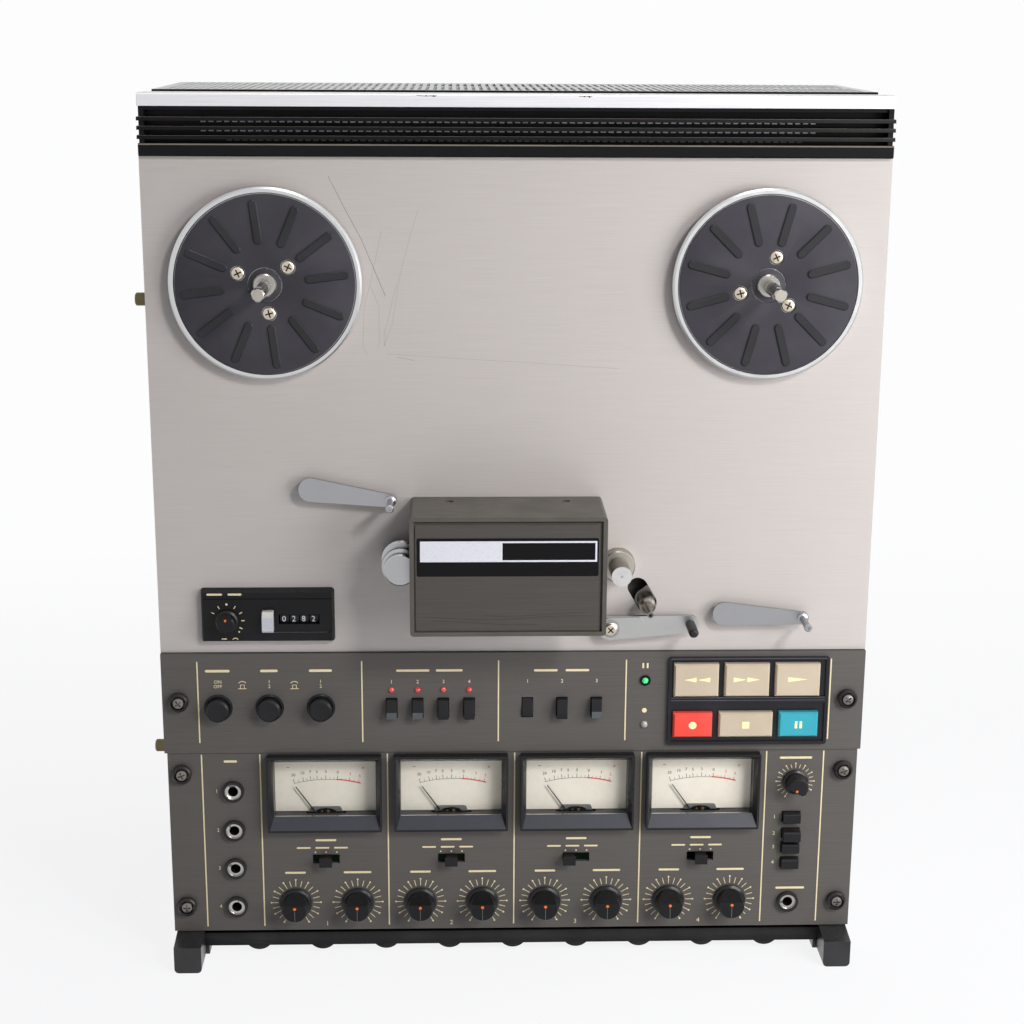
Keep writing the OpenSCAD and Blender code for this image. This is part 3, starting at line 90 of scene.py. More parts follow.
class Body(str, Enum):
    """Moving groups of the frame that the builders name."""

    RECORDER = "recorder"
    CUE_LEVER = "cue_lever_body"
    COUNTER_WHEELS = "counter_wheels_body"
    PITCH_KNOB = "pitch_knob_body"
    MONITOR_KNOB = "monitor_knob_body"


# Place


@dataclass(frozen=True)
class Front:
    """Where the front system of the recorder lies in the frame.

    Attributes:
        shift: The front system's origin in the frame, in metres.
    """

    shift: Vector

    @classmethod
    def from_frame(cls) -> "Front":
        """Reads the shift off the deck panel's box."""
        low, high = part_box("deck_panel")
        return cls(Vector(((low.x + high.x) / 2, low.y, 0.0)))

    def matrix(self) -> Matrix:
        """Gives the step from front millimetres to frame metres."""
        return Matrix.Translation(self.shift) @ Matrix.Scale(MILLIMETRE, 4)

    def box(self, node: str) -> tuple[Vector, Vector]:
        """Gives a CAD node's box in front millimetres."""
        low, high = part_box(node)
        return (low - self.shift) / MILLIMETRE, (high - self.shift) / MILLIMETRE


FRONT = Front.from_frame()


def circle_points(x: float, z: float, radius: float, count: int, start: float = 0.0) -> list[Flat]:
    """Gives the corners of a regular polygon."""
    turn = [math.radians(start) + math.tau * i / count for i in range(count)]
    return [(x + radius * math.cos(a), z + radius * math.sin(a)) for a in turn]


def rounded_points(
    x: float, z: float, width: float, height: float, radius: float, steps: int = 4,
) -> list[Flat]:
    """Gives the outline of a rectangle with round corners.

    Args:
        x: Middle across.
        z: Middle up.
        width: Full width.
        height: Full height.
        radius: Corner radius.
        steps: Segments in each corner.

    Returns:
        The outline's points in order.
    """
    radius = min(radius, width / 2 - 0.01, height / 2 - 0.01)
    points = []
    for quarter, (sx, sz) in enumerate(((1, 1), (-1, 1), (-1, -1), (1, -1))):
        cx = x + sx * (width / 2 - radius)
        cz = z + sz * (height / 2 - radius)
        for step in range(steps + 1):
            a = math.radians(90 * quarter + 90 * step / steps)
            points.append((cx + radius * math.cos(a), cz + radius * math.sin(a)))
    return points


# Meshes


def linked(name: str, data: bpy.types.ID) -> Thing:
    """Makes an object and puts it into the scene.

    Args:
        name: Name of the object.
        data: Its mesh, curve, light or camera.

    Returns:
        The object.
    """
    thing = bpy.data.objects.new(name, data)
    bpy.context.scene.collection.objects.link(thing)
    return thing


class Form:
    """Closed solids gathered into one mesh, in front millimetres."""

    def __init__(self, smooth: bool = True) -> None:
        """Starts with no solid and finish number 0.

        Args:
            smooth: Whether the faces are shaded smooth.
        """
        self.bm = bmesh.new()
        self.finish = 0
        self.smooth = smooth

    def paint(self, finish: int, smooth: bool = True) -> "Form":
        """Chooses the finish of the solids that follow."""
        self.finish, self.smooth = finish, smooth
        return self

    def loft(self, rings: Sequence[Sequence[Point]], loop: bool = False) -> "Form":
        """Adds the solid whose cross-sections are the rings.

        Args:
            rings: Rings of equally many points.
            loop: Joins the last ring to the first instead of capping both.

        Returns:
            This form.
        """
        rows = [[self.bm.verts.new(p) for p in ring] for ring in rings]
        size = len(rows[0])
        pairs = list(zip(rows, rows[1:])) + ([(rows[-1], rows[0])] if loop else [])
        faces = [
            self.bm.faces.new((a[i], a[(i + 1) % size], b[(i + 1) % size], b[i]))
            for a, b in pairs
            for i in range(size)
        ]
        if not loop:
            faces += [self.bm.faces.new(rows[0]), self.bm.faces.new(rows[-1])]
        for face in faces:
            face.material_index = self.finish
            face.smooth = self.smooth
        bmesh.ops.recalc_face_normals(self.bm, faces=faces)
        return self

    def prism(self, outline: Sequence[Flat], front: float, back: float, chamfer: float = 0.0) -> "Form":
        """Adds an upright outline with some depth.

        Args:
            outline: Points (x, z) of the face.
            front: Y of the face.
            back: Y of the rear.
            chamfer: Width of a chamfer round the face.

        Returns:
            This form.
        """
        rings = [[(x, back, z) for x, z in outline]]
        if chamfer:
            mx = sum(p[0] for p in outline) / len(outline)
            mz = sum(p[1] for p in outline) / len(outline)
            reach_x = max(abs(p[0] - mx) for p in outline)
            reach_z = max(abs(p[1] - mz) for p in outline)
            kx, kz = 1 - chamfer / reach_x, 1 - chamfer / reach_z
            rings.append([(x, front + chamfer, z) for x, z in outline])
            outline = [(mx + (x - mx) * kx, mz + (z - mz) * kz) for x, z in outline]
        rings.append([(x, front, z) for x, z in outline])
        return self.loft(rings)

    def box(self, x: Flat, y: Flat, z: Flat, chamfer: float = 0.0) -> "Form":
        """Adds a box."""
        corners = [(x[0], z[0]), (x[1], z[0]), (x[1], z[1]), (x[0], z[1])]
        return self.prism(corners, y[0], y[1], chamfer)

    def turned(self, x: float, z: float, profile: Sequence[Flat], count: int = 48) -> "Form":
        """Adds a body of revolution about an axis along Y."""
        rings = [[(px, y, pz) for px, pz in circle_points(x, z, r, count)] for r, y in profile]
        return self.loft(rings)

    def ring(
        self, x: float, z: float, inner: float, outer: float, front: float, back: float, count: int = 48,
    ) -> "Form":
        """Adds a flat ring.

        Args:
            x: Middle across.
            z: Middle up.
            inner: Inner radius.
            outer: Outer radius.
            front: Y of the face.
            back: Y of the rear.
            count: Number of segments.

        Returns:
            This form.
        """
        corners = ((inner, front), (outer, front), (outer, back), (inner, back))
        rings = [[(px, y, pz) for px, pz in circle_points(x, z, r, count)] for r, y in corners]
        return self.loft(rings, loop=True)

    def stroke(self, points: Sequence[Flat], width: float, front: float, back: float) -> "Form":
        """Adds a line of even width through the points.

        Args:
            points: Points (x, z) that the line passes.
            width: Width of the line.
            front: Y of the face.
            back: Y of the rear.

        Returns:
            This form.
        """
        left, right = [], []
        for i, (x, z) in enumerate(points):
            before, after = points[max(i - 1, 0)], points[min(i + 1, len(points) - 1)]
            way = Vector((after[0] - before[0], after[1] - before[1])).normalized() * (width / 2)
            left.append((x - way.y, z + way.x))
            right.append((x + way.y, z - way.x))
        rings = [
            [(a[0], front, a[1]), (b[0], front, b[1]), (b[0], back, b[1]), (a[0], back, a[1])]
            for a, b in zip(left, right)
        ]
        return self.loft(rings)

    def arc(
        self, x: float, z: float, radius: float, width: float, ends: Flat, front: float, back: float,
    ) -> "Form":
        """Adds a line along an arc.

        Args:
            x: Middle across.
            z: Middle up.
            radius: Radius of the line's middle.
            width: Width of the line.
            ends: First and last angle in degrees, from +X towards +Z.
            front: Y of the face.
            back: Y of the rear.

        Returns:
            This form.
        """
        steps = max(6, int(abs(ends[1] - ends[0]) / 4))
        turn = [math.radians(ends[0] + (ends[1] - ends[0]) * i / steps) for i in range(steps + 1)]
        path = [(x + radius * math.cos(a), z + radius * math.sin(a)) for a in turn]
        return self.stroke(path, width, front, back)

    def number(self, text: str, x: float, z: float, height: float, front: float, back: float) -> "Form":
        """Adds raised figures, centred on a point.

        Args:
            text: Figures to set.
            x: Middle across.
            z: Middle up.
            height: Height of the figures.
            front: Y of their face.
            back: Y of their rear.

        Returns:
            This form.
        """
        curve = bpy.data.curves.new("figures", "FONT")
        curve.body, curve.extrude, curve.resolution_u = text, 0.5, 3
        carrier = linked("figures", curve)
        graph = bpy.context.evaluated_depsgraph_get()
        mesh = bpy.data.meshes.new_from_object(carrier.evaluated_get(graph))
        bpy.data.objects.remove(carrier)
        bpy.data.curves.remove(curve)
        xs, ys = [v.co.x for v in mesh.vertices], [v.co.y for v in mesh.vertices]
        scale = height / (max(ys) - min(ys))
        middle = Vector(((max(xs) + min(xs)) / 2, (max(ys) + min(ys)) / 2, 0.0))
        place = Matrix.Translation((x, (front + back) / 2, z)) @ Matrix.Rotation(math.pi / 2, 4, "X")
        size = Matrix.Diagonal((scale, scale, back - front, 1.0))
        mesh.transform(place @ size @ Matrix.Translation(-middle))
        first = len(self.bm.faces)
        self.bm.from_mesh(mesh)
        bpy.data.meshes.remove(mesh)
        self.bm.faces.ensure_lookup_table()
        added = self.bm.faces[first:]
        bmesh.ops.remove_doubles(self.bm, verts=list({v for f in added for v in f.verts}), dist=1e-4)
        self.bm.faces.ensure_lookup_table()
        for face in self.bm.faces[first:]:
            face.material_index = self.finish
            face.smooth = False
        bmesh.ops.recalc_face_normals(self.bm, faces=self.bm.faces[first:])
        return self

    def turn(self, x: float, z: float, degrees: float) -> "Form":
        """Turns everything gathered so far about an axis along Y.

        Args:
            x: Axis across.
            z: Axis up.
            degrees: Angle, from +X towards +Z.

        Returns:
            This form.
        """
        centre = Vector((x, 0.0, z))
        turn = Matrix.Rotation(-math.radians(degrees), 3, "Y")
        bmesh.ops.rotate(self.bm, cent=centre, matrix=turn, verts=self.bm.verts)
        return self

    def tip(self, degrees: float, axis: str) -> "Form":
        """Turns everything gathered so far about an axis through the origin.

        Args:
            degrees: Angle of the turn.
            axis: "X", "Y" or "Z".

        Returns:
            This form.
        """
        turn = Matrix.Rotation(math.radians(degrees), 3, axis)
        bmesh.ops.rotate(self.bm, cent=(0, 0, 0), matrix=turn, verts=self.bm.verts)
        return self

    def move(self, x: float, y: float, z: float) -> "Form":
        """Moves everything gathered so far."""
        bmesh.ops.translate(self.bm, vec=Vector((x, y, z)), verts=self.bm.verts)
        return self

    def mesh(self, name: str) -> Mesh:
        """Ends the form.

        Args:
            name: Name of the mesh.

        Returns:
            The mesh in front millimetres.
        """
        mesh = bpy.data.meshes.new(name)
        self.bm.to_mesh(mesh)
        self.bm.free()
        return mesh


def piece(
    name: str,
    mesh: Mesh,
    finishes: Sequence[bpy.types.Material],
    body: str,
    edge: Optional[float] = 35.0,
) -> Thing:
    """Puts a mesh of front millimetres into the frame as a shown piece.

    Args:
        name: Name of the object.
        mesh: Mesh in front millimetres.
        finishes: Materials in the order of the mesh's finish numbers.
        body: CAD body that it moves with.
        edge: Edges sharper than this angle stay sharp, in degrees; None where the mesh has its own.

    Returns:
        The new object.
    """
    mesh.transform(FRONT.matrix())
    mesh.name = name
    numbers = [face.material_index for face in mesh.polygons]
    mesh.materials.clear()
    for finish in finishes:
        mesh.materials.append(finish)
    mesh.polygons.foreach_set("material_index", numbers)
    if edge is not None:
        mesh.set_sharp_from_angle(angle=math.radians(edge))
    thing = linked(name, mesh)
    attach(thing, body)
    LOG.info("%s: %d faces on %s", name, len(mesh.polygons), body)
    return thing


def evaluated(carrier: Thing) -> Mesh:
    """Takes the result of an object's modifiers and removes the object.

    Args:
        carrier: Object with modifiers.

    Returns:
        The resulting mesh.
    """
    graph = bpy.context.evaluated_depsgraph_get()
    result = bpy.data.meshes.new_from_object(carrier.evaluated_get(graph))
    source = carrier.data
    carrier.modifiers.clear()
    bpy.data.objects.remove(carrier)
    bpy.data.meshes.remove(source)
    return result


def changed(mesh: Mesh, kind: str, **settings: object) -> Mesh:
    """Runs one modifier on a mesh.

    Args:
        mesh: Mesh that goes in and is removed.
        kind: Type of the modifier.
        settings: Its settings.

    Returns:
        The mesh that comes out.
    """
    carrier = linked("carrier", mesh)
    modifier = carrier.modifiers.new("change", kind)
    for name, value in settings.items():
        setattr(modifier, name, value)
    return evaluated(carrier)


@dataclass(frozen=True)
class Refined:
    """A bevelled copy of one CAD node that is shown in the node's place.

    Attributes:
        node: Name of the CAD node.
        bevel: Width of the rounded edges in millimetres, 0 for none.
        segments: Segments of each rounded edge.
        corner: Edges under this angle stay as they are, in degrees.
    """

    node: str
    bevel: float = 0.25
    segments: int = 2
    corner: float = 35.0

    def build(self, finishes: Sequence[bpy.types.Material], choose: Optional[Rule] = None) -> Thing:
        """Makes the copy and hides the node.

        Args:
            finishes: Materials of the copy.
            choose: Gives a face's finish number from its middle and its normal, both in the front
                system, when the node carries more than one finish.

        Returns:
            The copy.
        """
        source = frame["nodes"][self.node]
        bm = bmesh.new()
        bm.from_mesh(source.data)
        bm.transform(FRONT.matrix().inverted())
        bmesh.ops.remove_doubles(bm, verts=bm.verts, dist=SEAM)
        bmesh.ops.dissolve_limit(bm, angle_limit=math.radians(FLATNESS), verts=bm.verts, edges=bm.edges)
        mesh = bpy.data.meshes.new(self.node + "_look")
        bm.to_mesh(mesh)
        bm.free()
        mesh.polygons.foreach_set("use_smooth", [True] * len(mesh.polygons))
        edge = self.corner
        if self.bevel:
            limit = {"limit_method": "ANGLE", "angle_limit": math.radians(self.corner)}
            mesh = changed(mesh, "TRIANGULATE", min_vertices=5)
            mesh = changed(
                mesh, "BEVEL", width=self.bevel, segments=self.segments, miter_outer="MITER_ARC", **limit,
            )
            mesh.set_sharp_from_angle(angle=math.radians(self.corner))
            mesh, edge = changed(mesh, "WEIGHTED_NORMAL", keep_sharp=True, weight=100), None
        for face in mesh.polygons:
            face.material_index = choose(face.center, face.normal) if choose else 0
        body = source["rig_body"]
        thing = piece(self.node + "_look", mesh, finishes, body, edge)
        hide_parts(self.node)
        return thing


# Finishes

DUST = "#8f8c86"  # Colour of the dust that lies on faces that look up


def hex_rgb(code: str, alpha: float = 1.0) -> tuple[float, float, float, float]:
    """Turns an sRGB hex code into linear values.

    Args:
        code: Code such as "#a0b0c0".
        alpha: Fourth value.

    Returns:
        Linear red, green, blue and alpha.
    """
    parts = [int(code[i : i + 2], 16) / 255 for i in (1, 3, 5)]
    line = [c / 12.92 if c <= 0.04045 else ((c + 0.055) / 1.055) ** 2.4 for c in parts]
    return (line[0], line[1], line[2], alpha)


def add(tree: Tree, kind: str, inputs: Optional[dict] = None, **settings: object) -> bpy.types.Node:
    """Adds a node, its settings, its constants and its links.

    Args:
        tree: Tree that gets the node.
        kind: Type of the node.
        inputs: Value or output socket for each input, by name or number.
        settings: Properties of the node.

    Returns:
        The node.
    """
    node = tree.nodes.new(kind)
    for name, value in settings.items():
        setattr(node, name, value)
    for key, value in (inputs or {}).items():
        if isinstance(value, Socket):
            tree.links.new(value, node.inputs[key])
        else:
            node.inputs[key].default_value = value
    return node


def noise(tree: Tree, place: Socket, size: float, detail: float = 2.0) -> Socket:
    """Gives soft random blotches."""
    scale = 1.0 / (size * MILLIMETRE)
    return add(tree, "ShaderNodeTexNoise", {"Vector": place, "Scale": scale, "Detail": detail}).outputs[0]


def streaks(tree: Tree, place: Socket, size: Point, detail: float = 3.0) -> Socket:
    """Gives random streaks of one length and width.

    Args:
        tree: Tree of the material.
        place: Coordinates in metres.
        size: Length of a streak along X, Y and Z in millimetres.
        detail: Number of finer layers.

    Returns:
        Output between 0 and 1.
    """
    scale = tuple(1.0 / (s * MILLIMETRE) for s in size)
    where = add(tree, "ShaderNodeMapping", {"Vector": place, "Scale": scale}).outputs[0]
    return add(tree, "ShaderNodeTexNoise", {"Vector": where, "Scale": 1.0, "Detail": detail}).outputs[0]


def ranged(tree: Tree, value: Socket, given: Flat, wanted: Flat) -> Socket:
    """Maps one range of a pattern onto another."""
    inputs = {0: value, 1: given[0], 2: given[1], 3: wanted[0], 4: wanted[1]}
    return add(tree, "ShaderNodeMapRange", inputs).outputs[0]


def mixed(tree: Tree, factor: Socket, first: Value, second: Value) -> Socket:
    """Mixes two colours by a pattern."""
    ends = [hex_rgb(c) if isinstance(c, str) else c for c in (first, second)]
    return add(tree, "ShaderNodeMix", {0: factor, 6: ends[0], 7: ends[1]}, data_type="RGBA").outputs[2]


def relief(tree: Tree, height: Socket, depth: float, strength: float = 0.5) -> Socket:
    """Turns a pattern into unevenness of the surface."""
    inputs = {"Height": height, "Distance": depth * MILLIMETRE, "Strength": strength}
    return add(tree, "ShaderNodeBump", inputs).outputs[0]


def computed(tree: Tree, operation: str, *values: Value) -> Socket:
    """Adds one step of arithmetic."""
    return add(tree, "ShaderNodeMath", dict(enumerate(values)), operation=operation).outputs[0]


def surface(tree: Tree, inputs: dict) -> Socket:
    """Adds the shader of a solid surface."""
    return add(tree, "ShaderNodeBsdfPrincipled", inputs).outputs[0]


def blended(tree: Tree, factor: Socket, first: Socket, second: Socket) -> Socket:
    """Mixes two shaders."""
    return add(tree, "ShaderNodeMixShader", {0: factor, 1: first, 2: second}).outputs[0]


def seen_rays(tree: Tree) -> Socket:
    """Tells rays by which the backdrop is seen, also in mirrors and clear plastic, from its light.

    Args:
        tree: Tree of the material or world.

    Returns:
        1 for those rays, 0 for the others.
    """
    path = add(tree, "ShaderNodeLightPath").outputs
    rays = computed(tree, "MAXIMUM", path["Is Camera Ray"], path["Is Glossy Ray"])
    return computed(tree, "MAXIMUM", rays, path["Is Transmission Ray"])


@dataclass(frozen=True)
class Finish:
    """A real surface, some with painted light or shade in their colour.

    Attributes:
        name: Name of the real material, and of the painted light or shade that it carries.
        colour: Colour of a clean spot as a hex code.
        worn: Colour of a worn, dusty or handled spot.
        rough: Roughness of a clean spot.
    """

    name: str
    colour: str
    worn: str
    rough: float = 0.5

    def build(self) -> bpy.types.Material:
        """Makes the material once and gives the same one after that.

        Returns:
            The material.
        """
        known = bpy.data.materials.get(self.name)
        if known:
            return known
        material = bpy.data.materials.new(self.name)
        material.use_nodes = True
        tree = material.node_tree
        tree.nodes.clear()
        place = add(tree, "ShaderNodeTexCoord").outputs["Object"]
        add(tree, "ShaderNodeOutputMaterial", {"Surface": self.shader(tree, place)})
        return material

    def tinted(self, tree: Tree, pattern: Socket, given: Flat, share: float) -> Socket:
        """Lets the worn colour into the clean one by a pattern."""
        return mixed(tree, ranged(tree, pattern, given, (0.0, share)), self.colour, self.worn)

    def shader(self, tree: Tree, place: Socket) -> Socket:
        """Builds the surface."""
        raise NotImplementedError


@dataclass(frozen=True)
class Moulded(Finish):
    """Plastic, rubber or paint: an even colour with fine grain, blotches from handling and dust on top.

    Attributes:
        grain: Size of the grain in millimetres.
        depth: Height of the grain in millimetres.
        dust: How much dust lies on faces that look up.
        specular: Strength of the highlight.
    """

    grain: float = 0.5
    depth: float = 0.02
    dust: float = 0.25
    specular: float = 0.5

    def shader(self, tree: Tree, place: Socket) -> Socket:
        """Builds the surface; see Finish.shader."""
        handled = noise(tree, place, 26.0, 4.0)
        colour = self.tinted(tree, handled, (0.42, 0.72), 0.8)
        normal = add(tree, "ShaderNodeNewGeometry").outputs["Normal"]
        up = add(tree, "ShaderNodeSeparateXYZ", {0: normal}).outputs[2]
        flecks = ranged(tree, noise(tree, place, 1.6, 3.0), (0.35, 0.75), (0.3, 1.0))
        lying = computed(tree, "MULTIPLY", ranged(tree, up, (0.55, 1.0), (0.0, self.dust)), flecks)
        colour = mixed(tree, lying, colour, DUST)
        return surface(tree, {
            "Base Color": colour,
            "Roughness": ranged(tree, handled, (0.3, 0.7), (self.rough + 0.07, self.rough - 0.05)),
            "Specular IOR Level": self.specular,
            "Normal": relief(tree, noise(tree, place, self.grain, 2.0), self.depth),
        })


@dataclass(frozen=True)
class Brushed(Finish):
    """Metal sheet brushed along X: hairlines that catch the light, under a dull or coloured anodising.

    Attributes:
        metal: How much of the surface acts as bare metal.
        line: Width of a hairline in millimetres.
        depth: Depth of a hairline in millimetres.
        bands: How much the broad bands of the brushing show.
        specular: Strength of the lacquer's highlight.
    """

    metal: float = 1.0
    line: float = 0.35
    depth: float = 0.012
    bands: float = 0.22
    specular: float = 0.3

    def shader(self, tree: Tree, place: Socket) -> Socket:
        """Builds the surface; see Finish.shader."""
        fine = streaks(tree, place, (38.0, 38.0, self.line))
        broad = streaks(tree, place, (160.0, 160.0, 4.5), 2.0)
        hazy = noise(tree, place, 70.0, 3.0)
        colour = self.tinted(tree, fine, (0.3, 0.7), 1.0)
        colour = mixed(tree, ranged(tree, broad, (0.35, 0.75), (0.0, self.bands)), colour, self.worn)
        return surface(tree, {
            "Base Color": colour,
            "Metallic": self.metal,
            "Specular IOR Level": self.specular,
            "Roughness": ranged(tree, hazy, (0.3, 0.7), (self.rough - 0.03, self.rough + 0.05)),
            "Normal": relief(tree, fine, self.depth, 0.35),
        })


@dataclass(frozen=True)
class Turned(Finish):
    """Metal turned on a lathe: fine rings about its own axis.

    Attributes:
        axis: Where the axis lies, (x, z) in front millimetres.
        ring: Distance between the rings in millimetres.
    """

    axis: Flat = (0.0, 0.0)
    ring: float = 0.5

    def shader(self, tree: Tree, place: Socket) -> Socket:
        """Builds the surface; see Finish.shader."""
        centre = FRONT.matrix() @ Vector((self.axis[0], 0.0, self.axis[1]))
        away = tuple(-c for c in centre)
        around = add(tree, "ShaderNodeMapping", {"Vector": place, "Location": away}).outputs[0]
        scale = math.tau / (20 * self.ring * MILLIMETRE)
        inputs = {"Vector": around, "Scale": scale, "Distortion": 0.6, "Detail": 2.0}
        rings = add(tree, "ShaderNodeTexWave", inputs, wave_type="RINGS", rings_direction="Y").outputs["Fac"]
        hazy = noise(tree, place, 9.0, 3.0)
        return surface(tree, {
            "Base Color": self.tinted(tree, rings, (0.0, 1.0), 0.45),
            "Metallic": 1.0,
            "Roughness": ranged(tree, hazy, (0.3, 0.7), (self.rough - 0.04, self.rough + 0.08)),
            "Normal": relief(tree, rings, 0.006, 0.4),
        })


@dataclass(frozen=True)
class Plated(Finish):
    """Polished or plated metal: a clear reflection, dimmed by smears and fine dust.

    Attributes:
        smears: How much the smears show.
    """

    smears: float = 0.4

    def shader(self, tree: Tree, place: Socket) -> Socket:
        """Builds the surface; see Finish.shader."""
        smear = noise(tree, place, 7.0, 4.0)
        pores = noise(tree, place, 0.7, 2.0)
        return surface(tree, {
            "Base Color": self.tinted(tree, smear, (0.45, 0.75), self.smears),
            "Metallic": 1.0,
            "Roughness": ranged(tree, smear, (0.35, 0.7), (self.rough, self.rough + 0.16 * self.smears)),
            "Normal": relief(tree, pores, 0.004, 0.25),
        })


@dataclass(frozen=True)
class Ink(Finish):
    """Screen-printed ink: a flat colour that has thinned in small spots."""

    def shader(self, tree: Tree, place: Socket) -> Socket:
        """Builds the surface; see Finish.shader."""
        thin = noise(tree, place, 0.9, 3.0)
        return surface(tree, {
            "Base Color": self.tinted(tree, thin, (0.52, 0.78), 0.7),
            "Roughness": ranged(tree, thin, (0.3, 0.7), (self.rough, self.rough + 0.1)),
            "Specular IOR Level": 0.15,
            "Normal": relief(tree, thin, 0.008, 0.3),
        })


@dataclass(frozen=True)
class Jewel(Finish):
    """Coloured lens of a lamp: clear plastic with an even glow of its own; where its lamp is off, that glow
    is painted light.

    Attributes:
        glow: Strength of the even light that the lens gives off.
    """

    glow: float = 0.1

    def shader(self, tree: Tree, place: Socket) -> Socket:
        """Builds the surface; see Finish.shader."""
        facets = add(tree, "ShaderNodeTexVoronoi", {"Vector": place, "Scale": 900.0}).outputs["Distance"]
        colour = mixed(tree, ranged(tree, facets, (0.0, 0.7), (0.0, 1.0)), self.worn, self.colour)
        return surface(tree, {
            "Base Color": colour,
            "Roughness": self.rough,
            "Coat Weight": 0.8,
            "Coat Roughness": 0.05,
            "Emission Color": colour,
            "Emission Strength": self.glow,
            "Normal": relief(tree, facets, 0.05, 0.3),
        })


@dataclass(frozen=True)
class Window(Finish):
    """Clear moulded window: light passes, and a faint sheen with a little dust lies on it."""

    def shader(self, tree: Tree, place: Socket) -> Socket:
        """Builds the surface; see Finish.shader."""
        dust = noise(tree, place, 3.0, 4.0)
        facing = add(tree, "ShaderNodeLayerWeight", {"Blend": 0.12}).outputs["Fresnel"]
        hazy = ranged(tree, dust, (0.3, 0.7), (0.04, 0.2))
        sheen = add(tree, "ShaderNodeBsdfGlossy", {"Color": hex_rgb("#ffffff"), "Roughness": hazy})
        clear = add(tree, "ShaderNodeBsdfTransparent", {"Color": mixed(tree, dust, self.colour, self.worn)})
        return blended(tree, facing, clear.outputs[0], sheen.outputs[0])


@dataclass(frozen=True)
class Backdrop(Finish):
    """White paper sweep: matt, with a faint fibre."""

    def shader(self, tree: Tree, place: Socket) -> Socket:
        """Builds the surface; see Finish.shader."""
        fibre = noise(tree, place, 1.1, 3.0)
        paper = surface(tree, {
            "Base Color": mixed(tree, fibre, self.colour, self.worn),
            "Roughness": self.rough,
            "Specular IOR Level": 0.2,
            "Normal": relief(tree, fibre, 0.05, 0.1),
        })
        depth = add(tree, "ShaderNodeSeparateXYZ", {0: place}).outputs[1]
        share = ranged(tree, depth, (0.1, 0.9), (0.88, 1.0))
        lit = computed(tree, "MULTIPLY", seen_rays(tree), share)
        white = add(tree, "ShaderNodeEmission", {"Color": hex_rgb("#fdfdfe"), "Strength": 1.0})
        return blended(tree, lit, paper, white.outputs[0])


